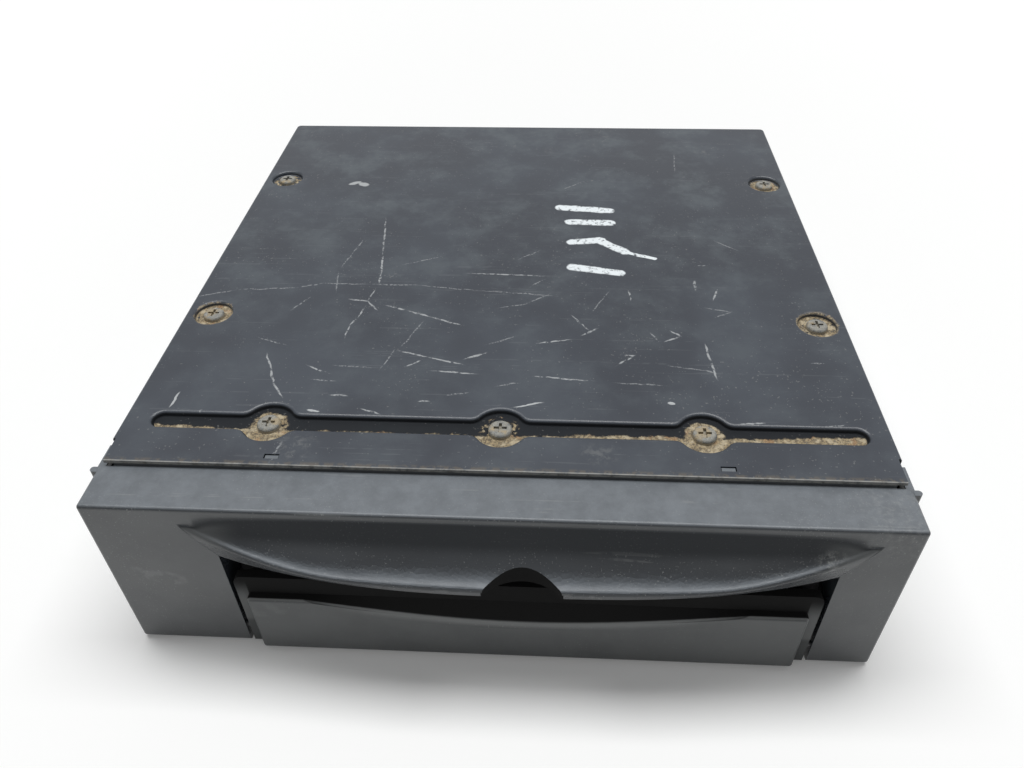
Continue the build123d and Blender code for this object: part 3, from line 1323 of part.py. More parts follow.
# Clamp arm over the disc, hinged at the back
arm_z = (ARM_PLANE, ARM_PLANE + ARM_SHEET)
arm_half = deck_inner - 1.5
arm_ring = CLAMPER_HUB_RADIUS + 8
with BuildPart() as clamp_arm:
    with BuildSketch(Plane.XY.offset(ARM_PLANE)):
        with BuildLine():
            Polyline(
                (cx - arm_half, arm_pivot_y + 2),
                (cx - arm_half, cam_pin_y - 4),
                (cx - arm_half + 6, cam_pin_y - 4),
                (cx - arm_ring, arm_pivot_y - 22),
                (cx - arm_ring, spindle_y),
                (cx + arm_ring, spindle_y),
                (cx + arm_ring, arm_pivot_y - 22),
                (cx + arm_half - 6, cam_pin_y - 4),
                (cx + arm_half, cam_pin_y - 4),
                (cx + arm_half, arm_pivot_y + 2),
                close=True,
            )
        make_face()
        with Locations((cx, spindle_y)):
            Circle(arm_ring)
    extrude(amount=ARM_SHEET)
    for side in (-1, 1):
        flange = sorted((cx + side * arm_half, cx + side * (arm_half - ARM_SHEET)))
        block(flange, (cam_pin_y - 4, arm_pivot_y + 2), (ARM_PIVOT_Z - 2.2, arm_z[1]))
        with BuildSketch(Plane.XY.offset(ARM_PLANE)):
            with Locations((cx + side * 10, arm_pivot_y - 34)):
                SlotOverall(34, 6, rotation=90)
        extrude(amount=ARM_SHEET + 1, mode=Mode.SUBTRACT)
    rod_z(CLAMPER_HUB_RADIUS + 0.7, cx, spindle_y, (ARM_PLANE - 1, ARM_PLANE + 3), Mode.SUBTRACT)
    rod_x(
        1.2 + RUNNING_FIT,
        (cx - arm_half - 1, cx + arm_half + 1),
        arm_pivot_y,
        ARM_PIVOT_Z,
        Mode.SUBTRACT,
    )
    rod_x(CAM_PIN_RADIUS, (cx - arm_half - 1, cx - arm_half + 2), cam_pin_y, cam_pin_z, Mode.SUBTRACT)
write(clamp_arm, "clamp_arm")

with BuildPart() as clamp_arm_pin:
    rod_x(CAM_PIN_RADIUS, (slider_x[0] - 0.6, cx - arm_half + ARM_SHEET), cam_pin_y, cam_pin_z)
    rod_x(1.6, (cx - arm_half + ARM_SHEET, cx - arm_half + 1.6), cam_pin_y, cam_pin_z)
write(clamp_arm_pin, "clamp_arm_pin")

with BuildPart() as clamp_arm_pivots:
    for side in (-1, 1):
        inside = cx + side * (arm_half - ARM_SHEET - 0.3)
        outside = cx + side * (DECK_HALF_WIDTH + 0.1)
        rod_x(1.2, sorted((inside, outside)), arm_pivot_y, ARM_PIVOT_Z)
        rod_x(1.8, sorted((inside, inside - side * 0.6)), arm_pivot_y, ARM_PIVOT_Z)
        rod_x(
            2.0,
            sorted((cx + side * DECK_HALF_WIDTH, cx + side * (DECK_HALF_WIDTH + 0.6))),
            arm_pivot_y,
            ARM_PIVOT_Z,
        )
write(clamp_arm_pivots, "clamp_arm_pivots")

# Clamper hanging in the arm's ring
clamper_low = disc_top + cam_fall / CAM_PIN_ARM * (arm_pivot_y - spindle_y) + 0.1
with BuildPart() as clamper:
    rod_z(CLAMPER_HUB_RADIUS, cx, spindle_y, (clamper_low, arm_z[1] + 0.2))
    rod_z(CLAMPER_RADIUS, cx, spindle_y, (arm_z[1] + 0.15, arm_z[1] + 1.15))
    rod_z(HUB_RADIUS + 0.6, cx, spindle_y, (clamper_low - 1, clamper_low + 1.6), Mode.SUBTRACT)
    rod_z(6.0, cx, spindle_y, (arm_z[1] - 0.6, arm_z[1] + 3), Mode.SUBTRACT)
write(clamper, "clamper")

with BuildPart() as clamper_magnet:
    rod_z(6.0, cx, spindle_y, (arm_z[1] - 0.6, arm_z[1] + 0.9))
write(clamper_magnet, "clamper_magnet")

# Cam slider on the left wall, with a ramp for the arm's pin
with BuildPart() as cam_slider:
    block(slider_x, (cam_pin_y - 26, cam_pin_y + 15), (slider_pin_z - 2.6, cam_pin_z + 2.4))
    fillet(cam_slider.edges().filter_by(Axis.X), 1.0)
    ramp = degrees(atan2(cam_fall, CAM_TRAVEL))
    ramp_length = hypot(CAM_TRAVEL, cam_fall)
    ramp_centre = (cam_pin_y - CAM_TRAVEL / 2, cam_pin_z - cam_fall / 2)
    with BuildSketch(Plane.YZ.offset(slider_x[0])):
        with Locations(ramp_centre):
            SlotCenterToCenter(ramp_length, 2 * CAM_PIN_RADIUS + 0.3, rotation=ramp)
        for y in slider_pin_ys:
            with Locations((y - CAM_TRAVEL / 2, slider_pin_z)):
                SlotCenterToCenter(CAM_TRAVEL + 0.4, 2 * 0.9 + 0.3)
    extrude(amount=slider_x[1] - slider_x[0], mode=Mode.SUBTRACT)
write(cam_slider, "cam_slider")

# Equal headed rivets: two guide the cam slider and two carry the disc levers
rivet_radius = 0.9
rivet_reach = slider_x[1] - slider_x[0] + 0.45
with BuildPart() as guide_rivets:
    for y in slider_pin_ys:
        outer = cx - DECK_HALF_WIDTH - rivet_reach
        rod_x(rivet_radius, (outer, cx - deck_inner), y, slider_pin_z)
        rod_x(1.7, (outer - 0.5, outer), y, slider_pin_z)
    for side in (-1, 1):
        x = cx + side * LEVER_PIVOT_X
        rod_z(rivet_radius, x, lever_pivot_y, (DECK_WALL_TOP - rivet_reach, DECK_WALL_TOP + DECK_SHEET))
        rod_z(1.7, x, lever_pivot_y, (DECK_WALL_TOP - rivet_reach - 0.5, DECK_WALL_TOP - rivet_reach))
write(guide_rivets, "guide_rivets")

# Levers that feel the edge of the entering disc
lever_z = (DECK_WALL_TOP - 1.2, DECK_WALL_TOP - 0.2)
lever_length = hypot(LEVER_PIVOT_X - LEVER_PIN_X, lever_pivot_y - lever_pin_y)
for side, name in ((-1, "disc_lever_left"), (1, "disc_lever_right")):
    pivot_x = cx + side * LEVER_PIVOT_X
    pin_x = cx + side * LEVER_PIN_X
    heading = degrees(atan2(lever_pin_y - lever_pivot_y, pin_x - pivot_x))
    with BuildPart() as disc_lever:
        with BuildSketch(Plane.XY.offset(lever_z[0])):
            with Locations(((pivot_x + pin_x) / 2, (lever_pivot_y + lever_pin_y) / 2)):
                SlotCenterToCenter(lever_length, 4.4, rotation=heading)
        extrude(amount=lever_z[1] - lever_z[0])
        rod_z(1.2, pin_x, lever_pin_y, (DISC_PLANE - 1.5, lever_z[1] - 0.1))
        rod_z(
            rivet_radius + RUNNING_FIT,
            pivot_x,
            lever_pivot_y,
            (lever_z[0] - 1, lever_z[1] + 1),
            Mode.SUBTRACT,
        )
    write(disc_lever, name)

# Main board on six standoffs
board_z = (BOARD_HEIGHT, BOARD_HEIGHT + BOARD_THICK)
board_top = board_z[1]
with BuildPart() as main_board:
    block((-BOARD_HALF_WIDTH, BOARD_HALF_WIDTH), (board_front, board_rear), board_z)
    fillet(main_board.edges().filter_by(Axis.Z), 2.0)
    for x, y in grommet_places:
        rod_z(POST_RADIUS + 1.0, x, y, (BOARD_HEIGHT - 1, board_top + 1), Mode.SUBTRACT)
    for x, y in standoff_places:
        rod_z(BOARD_SCREW_RADIUS + 0.2, x, y, (BOARD_HEIGHT - 1, board_top + 1), Mode.SUBTRACT)
write(main_board, "main_board")

with BuildPart() as board_standoffs:
    for x, y in standoff_places:
        with BuildSketch(Plane.XY.offset(CHASSIS_SHEET)):
            with Locations((x, y)):
                RegularPolygon(3.0, 6)
        extrude(amount=BOARD_HEIGHT - CHASSIS_SHEET)
        rod_z(2.0, x, y, (0, CHASSIS_SHEET + 0.2))
        rod_z(BOARD_SCREW_RADIUS, x, y, (CHASSIS_SHEET, BOARD_HEIGHT + 1), Mode.SUBTRACT)
write(board_standoffs, "board_standoffs")

with BuildPart() as board_screws:
    for x, y in standoff_places:
        rod_z(BOARD_SCREW_RADIUS, x, y, (CHASSIS_SHEET + 0.4, board_top))
        rod_z(2.4, x, y, (board_top, board_top + 1.5))
        cross_recess(2.4, x, y, board_top + 1.5, 0.8)
write(board_screws, "board_screws")

# Chips: processor, memories, decoder and motor driver
chips = (
    (-20.0, -46.0, 26.0, 26.0, 2.0),
    (14.0, -40.0, 12.0, 18.0, 1.1),
    (28.0, -40.0, 12.0, 18.0, 1.1),
    (14.0, -18.0, 12.0, 18.0, 1.1),
    (28.0, -18.0, 12.0, 18.0, 1.1),
    (-20.0, -4.0, 20.0, 20.0, 1.4),
    (40.0, 24.0, 14.0, 9.0, 1.6),
    (0.0, 26.0, 9.0, 9.0, 1.2),
)
with BuildPart() as board_chips:
    for x, y, width, depth, height in chips:
        block(
            (x - width / 2, x + width / 2),
            (y - depth / 2, y + depth / 2),
            (board_top, board_top + height),
        )
write(board_chips, "board_chips")

# Upright capacitors stand beside the drive, where the case is tall
with BuildPart() as board_capacitors:
    for x, y, radius, height in (
        (8.0 - BOARD_HALF_WIDTH, board_front + 30.0, 4.0, 12.0),
        (8.0 - BOARD_HALF_WIDTH, board_front + 42.0, 4.0, 12.0),
        (BOARD_HALF_WIDTH - 5.5, board_rear - 33.0, 4.0, 18.0),
        (BOARD_HALF_WIDTH - 5.5, board_rear - 44.0, 4.0, 18.0),
        (BOARD_HALF_WIDTH - 12.0, (deck_rear + rear_inner) / 2 - 0.9, 3.2, 11.0),
    ):
        rod_z(radius, x, y, (board_top, board_top + height))
    fillet(board_capacitors.faces().filter_by(Axis.Z).edges().filter_by(
        lambda e: e.center().Z > board_top + 1), 0.5)
write(board_capacitors, "board_capacitors")

# Screened satellite receiver module beside the antenna socket
with BuildPart() as gps_module:
    module_y = (
        grommet_ys[1] + MODULE_POST_GAP,
        rear_inner - ANTENNA_BODY_DEPTH - MODULE_ANTENNA_GAP,
    )
    block((antenna_x - 14, antenna_x + 12), module_y, (board_top, board_top + 7.0))
    fillet(gps_module.edges().filter_by(Axis.Z), 1.0)
    for x in (antenna_x - 8, antenna_x - 1, antenna_x + 6):
        for row in (1, 2, 3):
            y = module_y[0] + row * (module_y[1] - module_y[0]) / 4
            rod_z(0.9, x, y, (board_top + 6.0, board_top + 8.0), Mode.SUBTRACT)
write(gps_module, "gps_module")

# Flat ribbon from the back of the drive down to the main board
ribbon_y = deck_rear + 2.0
with BuildPart() as drive_ribbon:
    ribbon_x = (cx - 10, cx + 10)
    block(ribbon_x, (ribbon_y, ribbon_y + 0.3), (board_top + 0.2, DECK_HEIGHT - 1.2))
    block(ribbon_x, (deck_rear - 1, ribbon_y + 0.3), (DECK_HEIGHT - 1.5, DECK_HEIGHT - 1.2))
    block((cx - 11, cx + 11), (ribbon_y - 1.5, ribbon_y + 1.8), (board_top, board_top + 3.0))
    block((cx - 11, cx + 11), (deck_rear - 4, deck_rear - 0.5), (DECK_HEIGHT - 2.2, DECK_HEIGHT))
write(drive_ribbon, "drive_ribbon")

# Multi-way power and data socket
with BuildPart() as power_connector:
    power_y = (rear_inner - 16.0, case_rear)
    block(power_x, power_y, power_z)
    fillet(power_connector.edges().filter_by(Axis.Y), 1.0)
    block(
        (power_x[0] + 1.5, power_x[1] - 1.5),
        (power_y[0] + 8.0, power_y[1] + 1),
        (power_z[0] + 1.5, power_z[1] - 1.5),
        Mode.SUBTRACT,
    )
    for column in range(8):
        x = power_x[0] + 5.0 + column * (power_x[1] - power_x[0] - 10.0) / 7
        for z in (power_z[0] + 5.0, power_z[1] - 5.0):
            block((x - 0.5, x + 0.5), (power_y[0] + 7, power_y[1] - 2), (z - 0.5, z + 0.5))
write(power_connector, "power_connector")

with BuildPart() as av_connector:
    av_y = (rear_inner - 12.0, case_rear)
    block(av_x, av_y, av_z)
    fillet(av_connector.edges().filter_by(Axis.Y), 1.0)
    block(
        (av_x[0] + 1.2, av_x[1] - 1.2),
        (av_y[0] + 6.0, av_y[1] + 1),
        (av_z[0] + 1.2, av_z[1] - 1.2),
        Mode.SUBTRACT,
    )
    for column in range(12):
        x = av_x[0] + 4.0 + column * (av_x[1] - av_x[0] - 8.0) / 11
        z = av_z[0] + 2.4
        block((x - 0.3, x + 0.3), (av_y[0] + 5, av_y[1] - 2), (z - 0.3, z + 0.3))
write(av_connector, "av_connector")

# Coaxial antenna socket
with BuildPart() as antenna_socket:
    block(
        (antenna_x - 6, antenna_x + 6),
        (rear_inner - ANTENNA_BODY_DEPTH, rear_inner - 0.3),
        (board_top, antenna_z + 6),
    )
    rod_y(antenna_radius, antenna_x, (rear_inner - 1, case_rear), antenna_z)
    rod_y(3.4, antenna_x, (rear_inner - 7, case_rear + 1), antenna_z, Mode.SUBTRACT)
    rod_y(0.6, antenna_x, (rear_inner - 8, case_rear - 1), antenna_z)
write(antenna_socket, "antenna_socket")

# Axes, ratios and ranges, for whoever states the joints
print("flap hinge", hinge_y, HINGE_HEIGHT, FLAP_TRAVEL)
print("opening", cx - opening_half, cx + opening_half, fascia_front, bezel_front, bezel_rear)
print("roller axis", roller_y, roller_z)
print("idler axis", idler_y, idler_z, "ratio", -ROLLER_TEETH / IDLER_SMALL_TEETH)
print("pinion axis", pinion_y, LOADING_AXIS_Z)
print("pinion ratio", ROLLER_TEETH / IDLER_SMALL_TEETH * IDLER_LARGE_TEETH / PINION_TEETH)
print("spindle axis", cx, spindle_y)
print("sled gear", sled_gear_x, sled_gear_y, "rad/m", 1000 / sled_small_radius)
print("sled pinion", sled_pinion_x, sled_pinion_y, "ratio", -SLED_LARGE_TEETH / PINION_TEETH)
print("arm pivot", arm_pivot_y, ARM_PIVOT_Z, ARM_LIFT, "cam m/rad", CAM_TRAVEL / 1000 / radians(ARM_LIFT))
print("lever pivots", cx - LEVER_PIVOT_X, cx + LEVER_PIVOT_X, lever_pivot_y)
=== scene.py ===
"""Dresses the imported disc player: a finish for every node, a white table, a softbox and the camera."""

import math

import bmesh
import bpy
from bpy.props import FloatProperty, FloatVectorProperty, PointerProperty
from mathutils import Matrix, Vector

bl_info = {
    "name": "Car Disc Player",
    "version": (1, 0, 0),
    "blender": (4, 5, 0),
    "location": "View3D > Sidebar > Disc Player",
    "description": "Finishes and a studio for a one-DIN car disc player",
    "category": "Object",
}

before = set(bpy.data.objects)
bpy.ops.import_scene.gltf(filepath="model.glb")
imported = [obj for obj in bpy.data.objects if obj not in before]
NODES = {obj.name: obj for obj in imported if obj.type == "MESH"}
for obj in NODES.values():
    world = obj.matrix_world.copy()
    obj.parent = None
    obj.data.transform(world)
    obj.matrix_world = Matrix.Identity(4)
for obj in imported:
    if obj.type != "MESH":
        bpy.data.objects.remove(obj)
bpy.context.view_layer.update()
MM = 0.001
FLAT = (1.0, 1.0, 0.0)
FLOAT, VECTOR = "NodeSocketFloat", "NodeSocketVector"
# The distance where no mark is near, and how much more power a wide softbox needs than a small lamp
FAR_AWAY = 10000.0
WIDE_LAMP_LOSS = 1.23
# Half the table's width in metres, and the camera sensor's width in millimetres
TABLE_REACH = 4.0
SENSOR_WIDTH = 36.0

# Places on the part, in millimetres; a pair says where a soft edge begins and ends
COVER_TOP = 51.6
COVER_FRONT = -89.7
GROOVE_Y = -75.85
GROOVE_FLOOR = (49.0, 49.5)
GROOVE_BACK = (-70.0, -69.0)
SCREW_HEAD_TOP = (50.62, 50.95)
FASCIA_FACE = -102.0
# Heights of the painted shade on the hood's upper band
HOOD_SHADE_BAND = (39.5, 44.0)
HOOD_TIPS = (60.0, 72.0)
NOTCH_X = 6.4
NOTCH_REACH = (8.7, 8.9)
NOTCH_TOP = (41.8, 42.2)
OPENING_CENTRE = 6.4
PANEL_FACE = -104.2
PANEL_REACH = 64.6
# Heights where the painted highlight along the scoop begins
SCOOP_HIGHLIGHT_HEIGHTS = (9.0, 11.0)
FLAP_LOWER_SIDES = (18.0, 26.0)

# Pale smudges on the fascia: place, reach and strength
SMUDGES = (((71.0, -102.6, 41.0), 4.5, 0.5), ((86.0, -96.0, 49.4), 14.0, 0.2),
           ((24.0, -103.5, 33.0), 9.0, 0.12))
# Soil along the groove: from x, to x, and how many millimetres wider it lies at each
SOIL_BANKS = ((-5.0, 30.0, -0.2, 0.9), (62.0, 78.0, 0.0, 1.3), (-78.0, -58.0, 1.1, 0.0))
# Soil round the screws: x, y, inner and outer radius, raggedness and gaps
SOIL_RINGS = (
    (-54.4, GROOVE_Y, 2.4, 4.4, 3.5, 0.40),
    (0.0, GROOVE_Y, 2.5, 4.6, 3.0, 0.56),
    (46.9, GROOVE_Y, 1.6, 4.4, 3.2, 0.30),
    (-81.6, -33.4, 2.2, 5.2, 2.4, 0.34),
    (81.6, -33.4, 2.5, 5.4, 2.4, 0.38),
    (-81.6, 45.6, 1.8, 4.4, 3.0, 0.50),
    (81.6, 45.6, 2.0, 4.6, 2.2, 0.38),
)
# Hairlines: direction in radians, stretch along it and a shift that keeps them apart
HAIRLINE_RUNS = ((0.35, 0.02, 3.0), (1.45, 0.03, 41.0), (2.3, 0.025, 77.0), (2.9, 0.018, 113.0))

# Scratches, strokes and stains: half width, then x and y of each point of the line
FAINT_LINES = (
    (0.3, -78.1, -22.3, -61.2, -20.7, -54.6, -18.4, -41.4, -18.5, -27.1, -18.6),
    (0.28, -89.0, -26.2, -78.1, -22.3),
    (0.26, -27.1, -18.6, -9.2, -20.6, 12.4, -22.6),
    (0.26, -47.5, 5.6, -49.3, -2.7, -51.0, -9.6),
    (0.26, -51.2, -12.9, -49.8, -22.4),
    (0.26, -23.3, -35.9, -25.5, -41.5, -27.3, -46.4),
    (0.3, -60.6, -32.0, -56.5, -25.4),
    (0.26, -29.1, -48.2, -31.3, -55.7),
    (0.26, -43.1, -54.9, -33.2, -55.4),
    (0.26, -47.5, -60.7, -41.8, -60.9),
    (0.28, -14.0, -65.3, -8.7, -63.9),
    (0.26, -71.4, -72.5, -71.9, -74.0),
    (0.26, 3.7, -26.6, 10.4, -21.8),
    (0.26, -3.0, -28.7, 4.4, -26.6),
    (0.26, -5.5, -45.2, 1.8, -41.5),
    (0.26, 36.6, -37.9, 39.1, -41.9),
    (0.26, 41.0, -52.2, 49.6, -53.7, 52.5, -54.7),
    (0.26, 27.4, -59.2, 39.0, -59.8),
    (0.24, -1.6, -61.3, 3.3, -60.0),
    (0.26, 2.8, -69.0, 9.5, -66.8),
    (0.24, 74.5, -72.9, 79.6, -72.2),
    (0.24, 53.1, -26.9, 59.6, -28.6, 55.3, -31.2),
    (0.24, 76.5, -49.9, 79.2, -49.8),
    (0.26, 1.1, -3.9, 7.0, 0.9),
    (0.26, 4.8, -18.3, 8.8, -14.5),
    (0.24, 53.1, -5.9, 55.9, -5.6),
    (0.26, 53.4, 66.9, 52.4, 53.8),
    (0.4, -49.3, -81.9, -50.6, -89.0),
    (0.24, -33.0, -8.0, -22.0, -3.0),
    (0.24, 22.0, -30.0, 27.0, -20.0),
    (0.24, -66.0, -44.0, -58.0, -47.0),
    (0.24, 60.0, 8.0, 66.0, 3.0),
    (0.24, 14.0, 40.0, 21.0, 46.0),
)
CLEAR_LINES = (
    (0.34, -42.5, 18.4, -40.1, -1.3, -38.7, -13.1, -38.5, -17.9),
    (0.3, -39.0, -21.5, -39.9, -26.1),
    (0.32, -12.8, -12.1, 9.5, -12.7),
    (0.32, -45.2, -26.0, -39.8, -26.9, -36.8, -30.7),
    (0.3, -40.2, -29.3, -41.3, -34.2, -42.8, -38.0, -43.1, -43.4),
    (0.36, -34.3, -28.7, -27.0, -31.3, -21.6, -33.6, -12.8, -37.0),
    (0.32, -27.7, -48.6, -19.9, -50.8, -11.2, -53.4),
    (0.3, -25.2, -54.7, -21.4, -52.1),
    (0.32, -18.2, -56.1, -7.3, -56.9),
    (0.3, -10.6, -51.3, -6.9, -49.1),
    (0.34, -61.7, -51.0, -59.0, -56.7, -57.0, -62.2, -53.6, -67.1),
    (0.3, -49.9, -55.2, -43.9, -58.2),
    (0.34, -41.9, -65.9, -38.0, -66.3),
    (0.3, -9.3, -50.9, -5.3, -48.6),
    (0.3, 7.6, -44.2, 16.1, -42.3),
    (0.32, 16.8, -31.9, 20.8, -37.8),
    (0.32, 19.3, -40.3, 23.3, -37.2),
    (0.3, 42.6, -37.7, 44.9, -40.0, 40.8, -42.4),
    (0.32, 28.0, -52.4, 32.4, -48.4, 30.3, -48.2),
    (0.34, 50.9, -43.3, 51.4, -49.9, 52.2, -56.7),
    (0.3, 7.0, -57.3, 21.1, -58.6),
    (0.32, 55.3, -72.8, 61.0, -72.2),
    (0.32, 32.6, -19.0, 33.1, -23.7),
    (0.32, 57.4, -18.3, 55.6, -23.0),
    (0.5, 51.5, -13.8, 51.3, -18.6),
    (0.28, -33.2, -70.8, -28.9, -72.4),
    (0.26, -20.0, -67.7, -17.8, -67.6),
)
BRIGHT_LINES = (
    (0.38, -45.9, -71.6, -43.6, -71.9),
    (0.34, -79.2, -66.9, -79.4, -71.4),
    (0.5, 39.6, -66.2, 40.6, -66.2),
    (0.24, 3.3, -68.8, 9.4, -67.1),
    (0.9, -59.0, 41.8, -55.6, 43.6),
    (1.3, -55.6, 42.6, -52.6, 41.0),
    (2.0, -84.2, 44.6, -79.6, 43.0),
    (1.2, -82.6, 47.6, -78.8, 46.0),
)
TALLY_STROKES = (
    (1.9, 13.0, 27.5, 28.7, 25.9),
    (1.8, 16.2, 18.3, 28.8, 18.0),
    (1.8, 16.8, 6.2, 25.3, 7.6),
    (1.7, 24.6, 7.6, 32.6, 1.0),
    (0.8, 32.6, 1.0, 41.2, -2.6),
    (1.8, 16.7, -7.7, 30.6, -10.5),
)
STAINS = (
    (3.6, -5.6, 72.8, -3.6, 72.8),
    (3.2, 7.4, 69.0, 9.8, 69.0),
    (3.0, 27.0, 80.4, 31.0, 80.4),
    (3.0, 61.0, 69.0, 66.0, 69.0),
    (5.0, -50.0, -82.0, -42.0, -85.0),
    (4.0, 18.0, -84.0, 27.0, -83.0),
)


# Nodes


def add(tree, kind, inputs=None, **settings):
    """Adds a shader node, sets its options, and sets or links its inputs."""
    node = tree.nodes.new("ShaderNode" + kind)
    for name, value in settings.items():
        setattr(node, name, value)
    for name, value in (inputs or {}).items():
        feed(tree, node.inputs[name], value)
    return node


def feed(tree, socket, value):
    """Links an output to a socket, or sets the socket's own value."""
    if isinstance(value, bpy.types.NodeSocket):
        tree.links.new(value, socket)
    else:
        socket.default_value = value


def maths(tree, operation, *values, clamp=False):
    """A Math node's output."""
    inputs = dict(enumerate(values))
    return add(tree, "Math", inputs, operation=operation, use_clamp=clamp).outputs[0]


def plus(tree, first, second):
    """The sum of two values."""
    return maths(tree, "ADD", first, second)


def minus(tree, first, second):
    """The first value less the second."""
    return maths(tree, "SUBTRACT", first, second)


def times(tree, first, *others):
    """The product of two or more values."""
    for other in others:
        first = maths(tree, "MULTIPLY", first, other)
    return first


def larger(tree, first, *others):
    """The largest of two or more values."""
    for other in others:
        first = maths(tree, "MAXIMUM", first, other)
    return first


def apart(tree, value, centre):
    """How far a value is from the centre."""
    return maths(tree, "ABSOLUTE", minus(tree, value, centre))


def around(tree, middle, cloud, spread):
    """A value that wanders round the middle as the cloud goes from 0 to 1."""
    return plus(tree, middle, times(tree, minus(tree, cloud, 0.5), spread))


def vectors(tree, operation, *values):
    """A Vector Math node's output: a number for a length, distance or dot product, else a vector."""
    outputs = add(tree, "VectorMath", dict(enumerate(values)), operation=operation).outputs
    return outputs["Value" if operation in ("LENGTH", "DISTANCE", "DOT_PRODUCT") else "Vector"]


def stretched(tree, vector, factor):
    """A vector made longer or shorter."""
    return add(tree, "VectorMath", {0: vector, "Scale": factor}, operation="SCALE").outputs[0]


def ramp(tree, value, low, high, start=0.0, end=1.0):
    """A smooth step from start to end as value goes from low to high."""
    inputs = {0: value, 1: low, 2: high, 3: start, 4: end}
    return add(tree, "MapRange", inputs, interpolation_type="SMOOTHSTEP").outputs[0]


def fall(tree, value, low, high):
    """A smooth step from 1 down to 0 as value goes from low to high."""
    return ramp(tree, value, low, high, 1.0, 0.0)


def noise(tree, place, scale, detail=2.0, roughness=0.5, distortion=0.0):
    """Noise of the place; scale is waves per millimetre."""
    inputs = {"Vector": place, "Scale": scale, "Detail": detail, "Roughness": roughness,
              "Distortion": distortion}
    return add(tree, "TexNoise", inputs).outputs["Fac"]


def rgba(tone):
    """A colour with full alpha; a node's output stays as it is."""
    return tone if isinstance(tone, bpy.types.NodeSocket) else (*tone, 1.0)


def scaled(tone, share):
    """A colour made darker or lighter."""
    return [value * share for value in tone]


def blend(tree, mask, first, second, strength=1.0):
    """The first colour, covered by the second where the mask is 1, as far as the strength."""
    if strength != 1.0:
        mask = times(tree, mask, strength)
    inputs = {0: mask, 6: rgba(first), 7: rgba(second)}
    return add(tree, "Mix", inputs, data_type="RGBA").outputs[2]


def new_group(name, **inputs):
    """An empty node group and its inputs. One whose default is a number takes a number, else a vector."""
    group = bpy.data.node_groups.new(name, "ShaderNodeTree")
    for label, default in inputs.items():
        kind = FLOAT if isinstance(default, float) else VECTOR
        socket = group.interface.new_socket(name=label, in_out="INPUT", socket_type=kind)
        if default is not None:
            socket.default_value = default
    return group, group.nodes.new("NodeGroupInput").outputs


def put_out(group, **results):
    """Gives a node group its named outputs."""
    for label, value in results.items():
        kind = VECTOR if value.type == "VECTOR" else FLOAT
        group.interface.new_socket(name=label, in_out="OUTPUT", socket_type=kind)
    end = group.nodes.new("NodeGroupOutput")
    for value, socket in zip(results.values(), end.inputs):
        group.links.new(value, socket)


def use(tree, name, **inputs):
    """Places a node group in a tree and returns its outputs."""
    return add(tree, "Group", inputs, node_tree=bpy.data.node_groups[name]).outputs


def group_place():
    """Place: the object's own coordinates, in millimetres."""
    group, _ = new_group("place")
    mm = stretched(group, add(group, "TexCoord").outputs["Object"], 1.0 / MM)
    x, y, z = add(group, "SeparateXYZ", {0: mm}).outputs
    put_out(group, mm=mm, x=x, y=y, z=z)


def put_out_nearest(group, place, away):
    """Puts out the place with the smaller of its third number and this distance as its third number."""
    joined = add(group, "CombineXYZ", {0: FAR_AWAY, 1: FAR_AWAY, 2: away}).outputs[0]
    put_out(group, place=vectors(group, "MINIMUM", place, joined))


def group_line():
    """Line: a flat place with the distance to the nearest oval mark as its third number, 1 on the edge.

    The distance travels with the place, so a long row of lines is worked out one after another.
    """
    group, given = new_group("line", place=None, centre=None, turn=None, half=(1.0, 1.0, 1.0))
    inputs = {"Vector": given["place"], "Location": given["centre"], "Rotation": given["turn"],
              "Scale": given["half"]}
    local = add(group, "Mapping", inputs, vector_type="TEXTURE").outputs[0]
    away = vectors(group, "LENGTH", vectors(group, "MULTIPLY", local, FLAT))
    put_out_nearest(group, given["place"], away)


def group_stroke():
    """Stroke: like line, but with an even width and round ends."""
    group, given = new_group("stroke", place=None, start=None, run=None, width=1.0)
    run = given["run"]
    offset = vectors(group, "MULTIPLY", vectors(group, "SUBTRACT", given["place"], given["start"]), FLAT)
    along = vectors(group, "DOT_PRODUCT", offset, run)
    part = maths(group, "DIVIDE", along, vectors(group, "DOT_PRODUCT", run, run), clamp=True)
    away = vectors(group, "DISTANCE", offset, stretched(group, run, part))
    put_out_nearest(group, given["place"], maths(group, "DIVIDE", away, given["width"]))


def group_ring():
    """Ring: dirt that lies round a screw, ragged at its outer edge."""
    group, given = new_group("ring", mm=None, centre=None, inner=2.0, outer=5.0, ragged=2.0, gaps=0.4)
    mm = given["mm"]
    flat = vectors(group, "MULTIPLY", vectors(group, "SUBTRACT", mm, given["centre"]), FLAT)
    rough = minus(group, noise(group, mm, 0.55, 4.0, 0.65), 0.5)
    away = plus(group, vectors(group, "LENGTH", flat), times(group, rough, given["ragged"]))
    outside = ramp(group, minus(group, given["outer"], away), -0.35, 0.35)
    inside = ramp(group, minus(group, away, given["inner"]), -0.3, 0.3)
    whole = minus(group, noise(group, mm, 0.8, 3.0, 0.6), given["gaps"])
    put_out(group, mask=times(group, outside, inside, ramp(group, whole, -0.05, 0.05)))


def group_facing():
    """Facing: how far the surface looks up, to the front and to the sides, each 0 to 1."""
    group, _ = new_group("facing")
    normal = add(group, "NewGeometry").outputs["True Normal"]
    local = add(group, "VectorTransform", {0: normal}, vector_type="NORMAL", convert_from="WORLD",
                convert_to="OBJECT").outputs[0]
    x, y, z = add(group, "SeparateXYZ", {0: local}).outputs
    put_out(group, up=maths(group, "ADD", z, 0.0, clamp=True),
            front=maths(group, "MULTIPLY", y, -1.0, clamp=True), side=maths(group, "ABSOLUTE", x))


def group_grain():
    """Grain: the fine even texture of moulded plastic or paint, and its slow cloudiness."""
    group, given = new_group("grain", mm=None, fine=3.0, broad=0.05)
    put_out(group, height=noise(group, given["mm"], given["fine"], 2.0, 0.55),
            cloud=noise(group, given["mm"], given["broad"], 3.0, 0.55))


